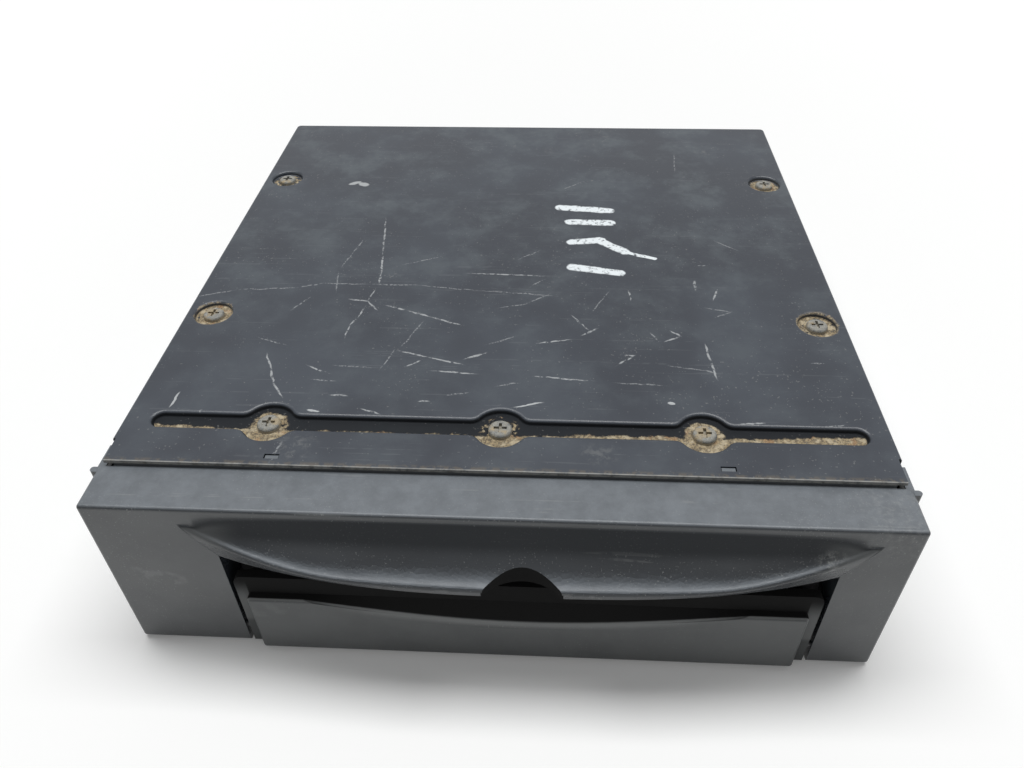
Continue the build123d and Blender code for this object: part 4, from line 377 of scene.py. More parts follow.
def group_specks():
    """Specks: scattered dust, lint and small chips."""
    group, given = new_group("specks", mm=None, scale=1.0, amount=0.3)
    where = minus(group, noise(group, given["mm"], 0.045, 2.0, 0.5), 0.5)
    level = plus(group, noise(group, given["mm"], given["scale"], 1.0, 0.5), times(group, where, 0.25))
    limit = minus(group, 0.83, times(group, given["amount"], 0.3))
    put_out(group, mask=ramp(group, minus(group, level, limit), 0.0, 0.035))


def group_brushed():
    """Brushed: fine lines drawn along one direction, given as a stretch of each axis."""
    group, given = new_group("brushed", mm=None, stretch=(1.0, 1.0, 1.0))
    drawn = vectors(group, "MULTIPLY", given["mm"], given["stretch"])
    put_out(group, lines=noise(group, drawn, 3.0, 3.0, 0.6), cloud=noise(group, given["mm"], 0.12, 2.0, 0.5))


def group_hairlines():
    """Hairlines: many faint short scratches that run in several directions."""
    group, given = new_group("hairlines", mm=None, amount=0.3)
    limit = minus(group, 0.86, times(group, given["amount"], 0.3))
    masks = []
    for angle, stretch, shift in HAIRLINE_RUNS:
        inputs = {"Vector": given["mm"], "Location": (shift, shift, 0.0), "Rotation": (0.0, 0.0, angle),
                  "Scale": (stretch, 1.0, 0.05)}
        line = noise(group, add(group, "Mapping", inputs).outputs[0], 1.0, 1.0, 0.4)
        masks.append(ramp(group, minus(group, line, limit), 0.0, 0.03))
    breaks = ramp(group, noise(group, given["mm"], 0.25, 2.0, 0.5), 0.42, 0.56)
    put_out(group, mask=times(group, larger(group, *masks), breaks))


def build_groups():
    """Builds every shared node group once."""
    for make in (group_place, group_line, group_stroke, group_ring, group_facing, group_grain,
                 group_specks, group_brushed, group_hairlines):
        make()


# Materials


class Finish:
    """A material with one Principled shader and its place in millimetres."""

    def __init__(self, name, **constants):
        self.material = bpy.data.materials.new(name)
        self.material.use_nodes = True
        self.tree = self.material.node_tree
        self.tree.nodes.clear()
        self.shader = add(self.tree, "BsdfPrincipled")
        add(self.tree, "OutputMaterial", {"Surface": self.shader.outputs[0]})
        self.set(**constants)
        self.mm, self.x, self.y, self.z = use(self.tree, "place")
        self.dulled = None

    def set(self, **inputs):
        """Feeds the shader's inputs."""
        for label, value in inputs.items():
            feed(self.tree, self.shader.inputs[label.replace("_", " ")], value)

    def bump(self, height, distance):
        """Feeds the normal from a height and returns the finish; distance is in millimetres."""
        inputs = {"Height": height, "Distance": distance * MM}
        self.set(Normal=add(self.tree, "Bump", inputs).outputs[0])
        return self

    def give(self, *names):
        """Assigns the material to CAD nodes."""
        for name in names:
            mesh = NODES[name].data
            if not mesh.materials:
                mesh.materials.append(self.material)
            for index in range(len(mesh.materials)):
                mesh.materials[index] = self.material


def runs(lines):
    """Each straight run of a list of lines: half width, start and end."""
    for width, *numbers in lines:
        points = list(zip(numbers[::2], numbers[1::2]))
        for start, end in zip(points, points[1:]):
            yield width, start, end


def marks(finish, place, lines):
    """How near the place is to the closest of many tapered lines."""
    for width, (x1, y1), (x2, y2) in runs(lines):
        half = math.hypot(x2 - x1, y2 - y1) / 2
        place = use(finish.tree, "line", place=place, centre=((x1 + x2) / 2, (y1 + y2) / 2, 0.0),
                    turn=(0.0, 0.0, math.atan2(y2 - y1, x2 - x1)), half=(half * 1.12 + 0.3, width, 1.0))[0]
    return add(finish.tree, "SeparateXYZ", {0: place}).outputs[2]


def strokes(finish, place, lines):
    """How near the place is to the closest of many even strokes."""
    for width, (x1, y1), (x2, y2) in runs(lines):
        place = use(finish.tree, "stroke", place=place, start=(x1, y1, 0.0),
                    run=(x2 - x1, y2 - y1, 0.0), width=width)[0]
    return add(finish.tree, "SeparateXYZ", {0: place}).outputs[2]


def cover_scratches(finish, place, top):
    """Masks of all scratches and of the bright ones, from a shaken place and the mask of the top face."""
    tree, mm = finish.tree, finish.mm
    breaks = ramp(tree, noise(tree, mm, 0.9, 3.0, 0.6), 0.36, 0.56)
    tight = ramp(tree, noise(tree, mm, 1.7, 2.0, 0.6), 0.4, 0.55)
    faint = times(tree, fall(tree, marks(finish, place, FAINT_LINES), 0.5, 1.1), tight, 0.45)
    clear = times(tree, fall(tree, marks(finish, place, CLEAR_LINES), 0.5, 1.1), breaks, 0.8)
    bright = fall(tree, marks(finish, place, BRIGHT_LINES), 0.75, 1.1)
    hair = times(tree, use(tree, "hairlines", mm=mm, amount=0.45)[0], 0.05)
    return times(tree, larger(tree, faint, clear, bright, hair), top), bright


def cover_soil(finish, up):
    """Masks of the dried soil in the groove and round the screws, and of the painted shade at the back of the
    groove.
    """
    tree, mm = finish.tree, finish.mm
    above_floor = ramp(tree, finish.z, *GROOVE_FLOOR)
    before_back = fall(tree, finish.y, *GROOVE_BACK)
    recess = fall(tree, finish.z, COVER_TOP - 0.75, COVER_TOP - 0.35)
    recess = times(tree, recess, above_floor, ramp(tree, up, 0.75, 0.97), before_back)
    drift = times(tree, minus(tree, noise(tree, mm, 0.35, 5.0, 0.7), 0.5), 3.6)
    level = plus(tree, minus(tree, GROOVE_Y - 0.9, finish.y), drift)
    for bank in SOIL_BANKS:
        level = plus(tree, level, ramp(tree, finish.x, *bank))
    soil = times(tree, ramp(tree, level, 0.1, 0.7), recess)
    for x, y, inner, outer, ragged, gaps in SOIL_RINGS:
        ring = use(tree, "ring", mm=mm, centre=(x, y, 0.0), inner=inner, outer=outer, ragged=ragged,
                   gaps=gaps)
        soil = larger(tree, soil, ring[0])
    # Painted shade: the back of the groove is darkened and made metallic to stand in for its dark reflection
    groove_shade = fall(tree, finish.z, COVER_TOP - 0.5, COVER_TOP - 0.15)
    return times(tree, soil, ramp(tree, up, 0.3, 0.6)), times(tree, groove_shade, above_floor, before_back, 0.8)


def soil_colour(finish, look):
    """The colour of the soil: damp and dry, chalky and rusty."""
    tree, mm = finish.tree, finish.mm
    tone = blend(tree, ramp(tree, noise(tree, mm, 2.4, 4.0, 0.75), 0.42, 0.6), look.soil_dark, look.soil)
    pale = ramp(tree, noise(tree, mm, 0.5, 3.0, 0.6), 0.48, 0.62)
    tone = blend(tree, pale, tone, look.soil_pale, 0.55)
    rusty = ramp(tree, noise(tree, mm, 0.33, 3.0, 0.5), 0.58, 0.7)
    return blend(tree, rusty, tone, look.rust, 0.5)


def cover_finish(look):
    """Scratched satin paint with soil in the pressings, bare chips and strokes of a white marker."""
    finish = Finish("painted_cover", IOR=1.6)
    tree, mm = finish.tree, finish.mm
    height, cloud = use(tree, "grain", mm=mm, fine=2.2, broad=0.03)
    up = use(tree, "facing")["up"]
    top = ramp(tree, finish.z, COVER_TOP - 0.3, COVER_TOP - 0.1)
    wobble = add(tree, "TexNoise", {"Vector": mm, "Scale": 0.35, "Detail": 3.0}).outputs["Color"]
    shake = stretched(tree, vectors(tree, "SUBTRACT", wobble, (0.5, 0.5, 0.5)), 1.1)
    place = vectors(tree, "MULTIPLY_ADD", vectors(tree, "ADD", mm, shake), FLAT, (0.0, 0.0, FAR_AWAY))

    base = blend(tree, ramp(tree, cloud, 0.35, 0.65), look.paint, look.paint_faded)
    rub = ramp(tree, noise(tree, mm, 0.06, 6.0, 0.75), 0.44, 0.7)
    base = blend(tree, times(tree, rub, ramp(tree, finish.y, -70.0, 60.0, 0.3, 0.75)), base, look.haze)
    scratch, bright = cover_scratches(finish, place, top)
    base = blend(tree, scratch, base, look.bare)
    soil, groove_shade = cover_soil(finish, up)
    # Painted shade at the back of the groove
    base = blend(tree, groove_shade, base, look.painted_shade)
    base = blend(tree, soil, base, soil_colour(finish, look), 0.94)
    spots = times(tree, fall(tree, marks(finish, place, STAINS), 0.2, 1.2), top,
                  ramp(tree, noise(tree, mm, 0.5, 4.0, 0.7), 0.45, 0.65))
    base = blend(tree, spots, base, look.dust, 0.16)

    # Paint chipped off along the front edge
    near = fall(tree, finish.y, COVER_FRONT + 0.5, COVER_FRONT + 1.6)
    chipped = times(tree, near, ramp(tree, noise(tree, mm, 0.55, 4.0, 0.7), 0.47, 0.55))
    base = blend(tree, chipped, base, look.soil_dark, 0.5)
    lip = times(tree, fall(tree, finish.y, COVER_FRONT + 0.1, COVER_FRONT + 0.5),
                ramp(tree, noise(tree, mm, 0.5, 4.0, 0.7), 0.3, 0.6, 0.25, 0.8))
    base = blend(tree, lip, base, look.dust)

    ink = fall(tree, strokes(finish, place, TALLY_STROKES), 0.72, 1.05)
    ink = times(tree, ink, top, ramp(tree, noise(tree, mm, 0.8, 4.0, 0.65), 0.3, 0.5))
    base = blend(tree, ink, base, look.marker, 0.94)
    dust = times(tree, use(tree, "specks", mm=mm, scale=1.5, amount=0.35)[0], up)
    base = blend(tree, dust, base, look.dust, 0.24)

    rough = around(tree, look.paint_roughness, cloud, 0.25)
    rough = plus(tree, rough, times(tree, larger(tree, soil, groove_shade), 0.45))
    shine = larger(tree, times(tree, bright, 0.4), times(tree, groove_shade, 0.8))
    finish.set(Base_Color=base, Roughness=rough, Metallic=times(tree, shine, minus(tree, 1.0, soil)))
    relief = plus(tree, times(tree, height, 0.25), times(tree, soil, 1.6))
    relief = plus(tree, relief, times(tree, soil, height, 2.2))
    return finish.bump(minus(tree, relief, times(tree, scratch, 0.5)), 0.06)


def moulded_finish(name, tone, faded, dust, dusting, haze=0.0, face_y=FASCIA_FACE, roughness=0.42,
                   fine=3.2, relief=0.03, scuffs=0.0, settled=None):
    """Moulded plastic: fine grain, slow cloudiness, dust on what looks up and haze on what looks forward."""
    finish = Finish(name)
    tree, mm = finish.tree, finish.mm
    height, cloud = use(tree, "grain", mm=mm, fine=fine, broad=0.07)
    up, front, _ = use(tree, "facing")
    base = blend(tree, ramp(tree, cloud, 0.3, 0.7), tone, faded)
    patchy = ramp(tree, noise(tree, mm, 0.2, 5.0, 0.7), 0.2, 0.8, 0.62, 1.0)
    settle = times(tree, ramp(tree, up, 0.6, 0.99), patchy, dusting)
    film = times(tree, ramp(tree, front, 0.85, 0.99), haze,
                 ramp(tree, noise(tree, mm, 0.06, 4.0, 0.6), 0.2, 0.7, 0.6, 1.0),
                 ramp(tree, finish.y, face_y - 0.15, face_y - 0.05))
    base = blend(tree, film, base, dust)
    base = blend(tree, settle, base, settled or dust)
    base = blend(tree, use(tree, "specks", mm=mm, scale=2.4, amount=0.42)[0], base, dust, 0.5)
    if scuffs:
        base = blend(tree, use(tree, "hairlines", mm=mm, amount=0.4)[0], base, dust, scuffs)
    rough = around(tree, roughness, cloud, 0.2)
    finish.base, finish.rough = base, plus(tree, rough, times(tree, larger(tree, settle, film), 0.25))
    finish.set(Base_Color=finish.base, Roughness=finish.rough)
    return finish.bump(height, relief)


def paint_shade(finish, mask, tone, roughness=1.0, dull=0.6):
    """Paints shade: turns the finish matt and dark under the mask; dull is how far it loses its mirror of the
    table.
    """
    tree = finish.tree
    dulled = times(tree, mask, dull)
    finish.dulled = dulled if finish.dulled is None else larger(tree, finish.dulled, dulled)
    finish.base = blend(tree, mask, finish.base, tone)
    spare = minus(tree, roughness, finish.rough)
    finish.rough = plus(tree, finish.rough, times(tree, spare, mask))
    finish.set(Base_Color=finish.base, Roughness=finish.rough, Metallic=finish.dulled)


def smudge(finish, centre, reach):
    """The mask of a ragged smudge round a place in millimetres."""
    tree = finish.tree
    near = fall(tree, vectors(tree, "DISTANCE", finish.mm, centre), 0.3 * reach, reach)
    return times(tree, near, ramp(tree, noise(tree, finish.mm, 0.6, 5.0, 0.75), 0.42, 0.7))


def fascia_finish(look):
    """The fascia: dusty top, hazed cheeks, and painted shade on the hood's upper band and inside the finger
    notch.
    """
    finish = moulded_finish("fascia_plastic", look.fascia, look.fascia_faded, look.dust, dusting=0.62,
                            haze=0.3, roughness=look.fascia_roughness, scuffs=0.25, settled=look.settled)
    tree = finish.tree
    hood = fall(tree, finish.y, FASCIA_FACE - 0.3, FASCIA_FACE)
    # Painted shade: the hood's upper band is darkened and loses part of its reflection
    hood_band_shade = times(tree, hood, ramp(tree, finish.z, *HOOD_SHADE_BAND), 0.85)
    paint_shade(finish, hood_band_shade, scaled(look.fascia, 0.5), 0.75, dull=0.4)
    # Painted shade on the wall of the finger notch
    notch_shade = times(tree, fall(tree, apart(tree, finish.x, NOTCH_X), *NOTCH_REACH),
                 fall(tree, use(tree, "facing")["up"], 0.03, 0.12), fall(tree, finish.z, *NOTCH_TOP), hood)
    paint_shade(finish, notch_shade, look.painted_shade)
    tips = times(tree, ramp(tree, apart(tree, finish.x, OPENING_CENTRE), *HOOD_TIPS),
                 fall(tree, finish.y, FASCIA_FACE - 0.6, FASCIA_FACE - 0.2))
    finish.base = blend(tree, tips, finish.base, look.dust, 0.3)
    for centre, reach, strength in SMUDGES:
        finish.base = blend(tree, smudge(finish, centre, reach), finish.base, look.smudge, strength)
    finish.set(Base_Color=finish.base)
    return finish


def flap_finish(look):
    """The flap: hazed panel, a painted highlight along the scoop, and painted shadow of the hood behind the
    panel.
    """
    finish = moulded_finish("flap_plastic", look.flap, scaled(look.flap, 1.25), look.dust, dusting=0.1,
                            haze=0.32, face_y=PANEL_FACE, scuffs=0.12)
    tree = finish.tree
    # Painted highlight: a pale line along the scoop's edge, in the dust colour
    scoop_highlight = times(tree, ramp(tree, finish.y, PANEL_FACE + 0.04, PANEL_FACE + 0.4),
                   ramp(tree, finish.z, *SCOOP_HIGHLIGHT_HEIGHTS))
    finish.base = blend(tree, scoop_highlight, finish.base, look.dust, 0.6)
    # Painted shadow of the hood: the flap behind the panel is darkened, except at its lower sides
    beside = ramp(tree, apart(tree, finish.x, OPENING_CENTRE), PANEL_REACH - 0.2, PANEL_REACH + 0.2)
    low = times(tree, ramp(tree, finish.z, *FLAP_LOWER_SIDES, 0.6, 0.0), beside)
    hood_shadow = times(tree, ramp(tree, finish.y, PANEL_FACE + 0.5, PANEL_FACE + 0.75), minus(tree, 1.0, low))
    paint_shade(finish, hood_shadow, look.painted_shade, dull=0.5)
    return finish


def sheet_finish(name, tone, dull, stretch=(0.15, 2.0, 2.0), roughness=0.36, relief=0.01):
    """Plated or drawn sheet: faint rolling lines and a cloudy, slightly dulled plating."""
    finish = Finish(name, Metallic=1.0)
    tree = finish.tree
    lines, cloud = use(tree, "brushed", mm=finish.mm, stretch=stretch)
    base = blend(tree, ramp(tree, cloud, 0.25, 0.75, 0.1, 0.6), tone, dull)
    finish.base = blend(tree, ramp(tree, lines, 0.35, 0.65), base, dull, 0.2)
    finish.set(Base_Color=finish.base, Roughness=around(tree, roughness, cloud, 0.35))
    return finish.bump(lines, relief)


def chassis_finish(look):
    """The chassis: zinc-plated sheet, darker near the front, where the fascia's arms cover it."""
    finish = sheet_finish("chassis_plate", look.zinc, look.zinc_dull)
    # Darker towards the front, behind the fascia
    front_dark = ramp(finish.tree, finish.y, COVER_FRONT + 1.5, COVER_FRONT + 3.5, 0.94, 0.0)
    finish.set(Base_Color=blend(finish.tree, front_dark, finish.base, look.chassis_front_dark))
    return finish


def turned_finish(name, tone, dull, axis, roughness):
    """Turned or ground metal: close rings round the piece's own axis."""
    stretch = [0.1, 0.1, 0.1]
    stretch["xyz".index(axis)] = 3.0
    return sheet_finish(name, tone, dull, tuple(stretch), roughness, 0.008)


def screw_finish(look):
    """Plated screw heads with white corrosion, grey oxide and brown dirt in the recess."""
    finish = Finish("corroded_screws")
    tree, mm = finish.tree, finish.mm
    patches = noise(tree, mm, 0.9, 5.0, 0.7)
    fine = noise(tree, mm, 3.5, 3.0, 0.6)
    base = blend(tree, ramp(tree, patches, 0.38, 0.6), look.screw_plate, look.screw_oxide)
    base = blend(tree, ramp(tree, noise(tree, mm, 0.28, 3.0, 0.6), 0.5, 0.62), base, look.soil, 0.7)
    base = blend(tree, ramp(tree, fine, 0.5, 0.68), base, look.soil_dark, 0.55)
    low = times(tree, fall(tree, finish.z, *SCREW_HEAD_TOP),
                ramp(tree, use(tree, "facing")["up"], 0.2, 0.9, 1.0, 0.6))
    base = blend(tree, low, base, look.screw_dirt, 0.75)
    finish.set(Base_Color=base, Roughness=ramp(tree, patches, 0.35, 0.6, 0.55, 0.85),
               Metallic=ramp(tree, patches, 0.38, 0.55, 0.5, 0.05))
    return finish.bump(plus(tree, patches, fine), 0.05)


def rubber_finish(name, tone, dust):
    """Matt rubber with a dry bloom."""
    finish = Finish(name)
    tree = finish.tree
    height, cloud = use(tree, "grain", mm=finish.mm, fine=4.0, broad=0.3)
    finish.set(Base_Color=blend(tree, ramp(tree, cloud, 0.45, 0.7), tone, dust, 0.18),
               Roughness=ramp(tree, cloud, 0.3, 0.7, 0.7, 0.9))
    return finish.bump(height, 0.02)


def felt_finish(tone):
    """Felt: matted short fibres with a soft edge light."""
    finish = Finish("felt", Roughness=0.95, Sheen_Weight=0.6, Sheen_Roughness=0.6)
    tree, mm = finish.tree, finish.mm
    fibres = plus(tree, noise(tree, mm, 6.0, 3.0, 0.8, 1.5), noise(tree, mm, 1.5, 3.0, 0.6))
    finish.set(Base_Color=blend(tree, ramp(tree, fibres, 0.8, 1.2), scaled(tone, 0.6), scaled(tone, 1.7)))
    return finish.bump(fibres, 0.08)


def acetal_finish(name, tone, shade):
    """Moulded acetal: waxy, slightly see-through, with faint greasy patches."""
    finish = Finish(name, Subsurface_Weight=0.12, Subsurface_Scale=0.6 * MM)
    tree = finish.tree
    height, cloud = use(tree, "grain", mm=finish.mm, fine=2.0, broad=0.22)
    finish.set(Base_Color=blend(tree, ramp(tree, cloud, 0.35, 0.7), tone, shade),
               Roughness=ramp(tree, cloud, 0.35, 0.65, 0.42, 0.24))
    return finish.bump(height, 0.008)


def board_finish(look):
    """Circuit board: solder mask over copper tracks, with round pads and the bare edge of the laminate."""
    finish = Finish("circuit_board", Coat_Weight=0.3, Coat_Roughness=0.2)
    tree = finish.tree
    up, front, _ = use(tree, "facing")
    flat = add(tree, "Mapping", {"Vector": finish.mm, "Scale": (0.55, 0.55, 0.55)}).outputs[0]
    cells = add(tree, "TexVoronoi", {"Vector": flat, "Scale": 0.45, "Randomness": 0.75},
                distance="CHEBYCHEV", feature="F1").outputs["Distance"]
    tracks = ramp(tree, maths(tree, "PINGPONG", times(tree, cells, 6.0), 0.5), 0.2, 0.3)
    dots = add(tree, "TexVoronoi", {"Vector": flat, "Scale": 1.3, "Randomness": 0.35},
               feature="F1").outputs["Distance"]
    sparse = ramp(tree, noise(tree, finish.mm, 0.06, 2.0, 0.5), 0.5, 0.55)
    pads = times(tree, fall(tree, dots, 0.16, 0.2), sparse)
    base = blend(tree, tracks, look.solder_mask, look.mask_over_copper)
    base = blend(tree, pads, base, look.tinned_pad)
    face = larger(tree, ramp(tree, apart(tree, up, 0.5), 0.4, 0.5), ramp(tree, front, 0.6, 0.9))
    finish.set(Base_Color=blend(tree, face, look.laminate, base), Metallic=times(tree, pads, 0.9),
               Roughness=minus(tree, 0.4, times(tree, tracks, 0.08)))
    return finish.bump(plus(tree, tracks, pads), 0.03)


def chip_finish(resin, bloom):
    """Black chip resin: sandy, with a greyish bloom."""
    finish = Finish("chip_resin")
    tree = finish.tree
    height, cloud = use(tree, "grain", mm=finish.mm, fine=6.0, broad=0.4)
    finish.set(Base_Color=blend(tree, cloud, resin, bloom), Roughness=ramp(tree, height, 0.3, 0.7, 0.5, 0.72))
    return finish.bump(height, 0.02)


def ribbon_finish(tone, tired):
    """Flat ribbon: white film over side-by-side conductors, yellowed in places."""
    finish = Finish("ribbon_film", Roughness=0.4)
    tree = finish.tree
    stripe = ramp(tree, maths(tree, "PINGPONG", finish.x, 0.5), 0.15, 0.3)
    base = blend(tree, stripe, scaled(tone, 0.72), tone)
    finish.set(Base_Color=blend(tree, noise(tree, finish.mm, 0.3, 3.0, 0.6), base, tired, 0.2))
    return finish.bump(stripe, 0.04)


def capacitor_finish(sleeve, stripe, can):
    """Sleeved can: coloured sleeve with a pale stripe and the bare pressed top."""
    finish = Finish("capacitor_can")
    tree = finish.tree
    up, _, side = use(tree, "facing")
    lid = ramp(tree, up, 0.6, 0.9)
    fine = noise(tree, finish.mm, 2.4, 3.0, 0.6)
    base = blend(tree, fine, sleeve, scaled(sleeve, 1.35))
    base = blend(tree, ramp(tree, side, 0.93, 0.97), base, stripe, 0.8)
    finish.set(Base_Color=blend(tree, lid, base, can), Metallic=lid,
               Roughness=ramp(tree, fine, 0.3, 0.7, 0.28, 0.42))
    return finish.bump(fine, 0.01)


def clear_finish(thin, milky):
    """Milky light pipe."""
    finish = Finish("light_pipe", Roughness=0.3, IOR=1.49, Transmission_Weight=0.6)
    milk = noise(finish.tree, finish.mm, 0.8, 3.0, 0.6)
    finish.set(Base_Color=blend(finish.tree, milk, thin, milky))
    return finish.bump(milk, 0.02)


def glass_finish(coating, rim):
    """Moulded lens with a faint purple coating, dusty in places."""
    finish = Finish("lens_glass", IOR=1.52, Transmission_Weight=0.9)
    tree = finish.tree
    dust = noise(tree, finish.mm, 3.0, 3.0, 0.6)
    finish.set(Base_Color=blend(tree, dust, coating, rim), Roughness=ramp(tree, dust, 0.45, 0.8, 0.02, 0.2))
    return finish


def floor_finish(look):
    """Matt white table that keeps the shadow, and stays as white where the softbox's light falls off."""
    finish = Finish("white_table", Roughness=0.9, Specular_IOR_Level=0.2)
    tree = finish.tree
    tone = look.floor_colour
    cloud = noise(tree, finish.mm, 0.004, 2.0, 0.5)
    x, y, height = (value / MM for value in look.softbox_place)
    steep = maths(tree, "DIVIDE", vectors(tree, "DISTANCE", finish.mm, (x, y, 0.0)), height)
    spread = plus(tree, times(tree, steep, steep), 1.0)
    lit = maths(tree, "DIVIDE", look.softbox_level, times(tree, spread, spread))
    lit = times(tree, plus(tree, lit, look.world_level), tone[0])
    missing = maths(tree, "SUBTRACT", look.floor_white, lit, clamp=True)
    finish.set(Base_Color=blend(tree, cloud, tone, scaled(tone, 0.97), 0.1),
               Emission_Color=(1.0, 1.0, 1.0, 1.0), Emission_Strength=times(tree, missing, seen_rays(tree)))
    return finish.material


def seen_rays(tree):
    """1 for what the camera, a reflection or a see-through piece shows, and 0 for light."""
    path = add(tree, "LightPath").outputs
    return larger(tree, path["Is Camera Ray"], path["Is Glossy Ray"], path["Is Transmission Ray"])


# Settings


def numbers(name, description, default, **limits):
    """A setting of several numbers."""
    return FloatVectorProperty(name=name, description=description, default=default, size=len(default),
                               **limits)


def tint(name, description, default):
    """A colour setting."""
    return numbers(name, description, default, subtype="COLOR", min=0.0, max=1.0)


def share(name, description, default):
    """A setting from 0 to 1."""
    return FloatProperty(name=name, description=description, default=default, min=0.0, max=1.0,
                         subtype="FACTOR")


class CoverLook(bpy.types.PropertyGroup):
    """Colours of the painted cover and its screws."""

    paint: tint("Paint", "Satin paint of the cover", (0.012, 0.018, 0.03))
    paint_faded: tint("Faded paint", "The paint where it has dulled", (0.024, 0.033, 0.048))
    haze: tint("Haze", "Rubbed and dusty paint", (0.062, 0.078, 0.09))
    bare: tint("Bare metal", "Steel that shows in scratches", (0.42, 0.44, 0.45))
    marker: tint("Marker", "White marker strokes", (0.86, 0.92, 0.95))
    dust: tint("Dust", "Loose dust on the cover", (0.35, 0.35, 0.33))
    soil: tint("Soil", "Dried dirt in the groove and dimples", (0.4, 0.315, 0.185))
    soil_dark: tint("Dark soil", "Damp dirt and oxide", (0.12, 0.095, 0.062))
    soil_pale: tint("Pale soil", "Chalky dirt", (0.66, 0.57, 0.4))
    rust: tint("Rust", "Rust beside the screws", (0.36, 0.19, 0.08))
    screw_plate: tint("Screw plating", "Plating of the cover screws", (0.2, 0.205, 0.2))
    screw_oxide: tint("Screw oxide", "White corrosion of the cover screws", (0.34, 0.335, 0.3))
    screw_dirt: tint("Screw dirt", "Dirt packed into the screw heads", (0.44, 0.4, 0.32))
    # The colour of the painted shade at the back of the groove
    painted_shade: tint("Grime", "Dark grease at the back of the groove", (0.007, 0.008, 0.009))
    paint_roughness: share("Paint roughness", "How matt the paint is", 0.38)


class PlasticLook(bpy.types.PropertyGroup):
    """Colours of the plastics, rubber and glass."""

    fascia: tint("Fascia", "Moulded fascia", (0.022, 0.026, 0.031))
    fascia_faded: tint("Faded fascia", "The fascia where it has greyed", (0.031, 0.036, 0.042))
    flap: tint("Flap", "Drop-down flap", (0.026, 0.03, 0.032))
    inner: tint("Inner front", "Bezel round the disc slot", (0.02, 0.02, 0.022))
    dust: tint("Dust", "Dust and haze on the plastic", (0.26, 0.27, 0.27))
    settled: tint("Settled dust", "Fine dust on the top of the fascia", (0.245, 0.272, 0.3))
    smudge: tint("Smudge", "Pale smudges on the fascia", (0.4, 0.41, 0.4))
    # The colour of the painted shade in the finger notch and under the hood on the flap
    painted_shade: tint("Grime", "Greasy dirt in the recesses", (0.006, 0.006, 0.006))
    felt: tint("Felt", "Felt at the disc slot", (0.02, 0.02, 0.022))
    rubber: tint("Rubber", "Rollers and grommets", (0.022, 0.022, 0.022))
    pipe: tint("Light pipe", "The clear light pipe", (0.62, 0.68, 0.72))
    pipe_milk: tint("Milky pipe", "The light pipe where it is cloudy", (0.85, 0.88, 0.9))
    lens: tint("Lens", "Coated pickup lens", (0.78, 0.8, 0.98))
    lens_dust: tint("Dusty lens", "The lens where it is dusty", (0.9, 0.93, 1.0))
    button: tint("Button", "Eject button", (0.03, 0.03, 0.033))
    acetal: tint("Acetal", "Natural acetal gears", (0.78, 0.77, 0.7))
    black_acetal: tint("Black acetal", "Black levers, clamper and turntable", (0.03, 0.03, 0.033))
    fascia_roughness: share("Fascia roughness", "How matt the fascia is", 0.27)


class MetalLook(bpy.types.PropertyGroup):
    """Colours of the metal pieces."""

    # A dark colour for the chassis near the front, behind the fascia
    chassis_front_dark: tint("Chassis dirt", "Black dirt on the chassis behind the fascia", (0.03, 0.03, 0.028))
    zinc: tint("Zinc plate", "Folded chassis, deck and arm", (0.6, 0.61, 0.62))
    zinc_dull: tint("Dull zinc", "Plating that has clouded", (0.44, 0.45, 0.46))
    steel: tint("Ground steel", "Shafts, rods and pins", (0.68, 0.68, 0.69))
    black_screw: tint("Black screws", "Small black machine screws", (0.06, 0.06, 0.062))
    can: tint("Motor can", "Drawn motor cans and shields", (0.62, 0.62, 0.63))
    brass: tint("Brass", "Turned posts and pinions", (0.72, 0.52, 0.22))
    alloy: tint("Cast alloy", "Die-cast pickup body", (0.5, 0.51, 0.53))


class BoardLook(bpy.types.PropertyGroup):
    """Colours of the electronics."""

    solder_mask: tint("Solder mask", "Green mask on bare laminate", (0.012, 0.13, 0.06))
    mask_over_copper: tint("Mask over copper", "Green mask on a track", (0.03, 0.22, 0.11))
    tinned_pad: tint("Tinned pad", "Solder on a pad", (0.6, 0.6, 0.58))
    laminate: tint("Laminate", "Cut edge of the board", (0.45, 0.43, 0.25))
    socket: tint("Socket", "Rear socket bodies", (0.05, 0.05, 0.052))
    ribbon: tint("Ribbon", "Flat ribbon film", (0.78, 0.76, 0.7))
    ribbon_tired: tint("Tired ribbon", "Ribbon film that has yellowed", (0.5, 0.45, 0.35))
    sleeve: tint("Capacitor sleeve", "Shrunk sleeve of the capacitors", (0.03, 0.035, 0.09))
    stripe: tint("Capacitor stripe", "Pale stripe on the sleeve", (0.55, 0.56, 0.6))
    resin: tint("Chip resin", "Black resin of the chips", (0.018, 0.018, 0.02))
    resin_bloom: tint("Resin bloom", "Resin that has greyed", (0.034, 0.034, 0.036))


class StageLook(bpy.types.PropertyGroup):
    """Table, softbox and camera."""

    floor_colour: tint("Floor", "White table", (0.93, 0.935, 0.93))
    floor_white: share("White level", "How white the table looks where no shadow falls", 0.965)
    backdrop_white: share("Backdrop", "How white the surroundings look", 0.75)
    world_level: share("World", "Strength of the even surrounding light", 0.2)
    softbox_level: share("Softbox", "How brightly the softbox lights a white table under it", 0.78)
    softbox_place: numbers("Softbox place", "Centre of the softbox", (0.0, 0.114, 1.1), subtype="TRANSLATION")
    softbox_size: numbers("Softbox size", "Width and depth", (1.2, 0.4), unit="LENGTH")
    focal: FloatProperty(name="Lens", description="Focal length on a 36 mm wide sensor",
                         default=28.98, min=10.0, subtype="DISTANCE_CAMERA")
    camera_place: numbers("Camera", "Where the camera stands", (0.01177, -0.21275, 0.18373),
                          subtype="TRANSLATION")
    camera_turn: numbers("Camera turn", "Rotation vector of the camera", (0.714, 0.055, 0.005))


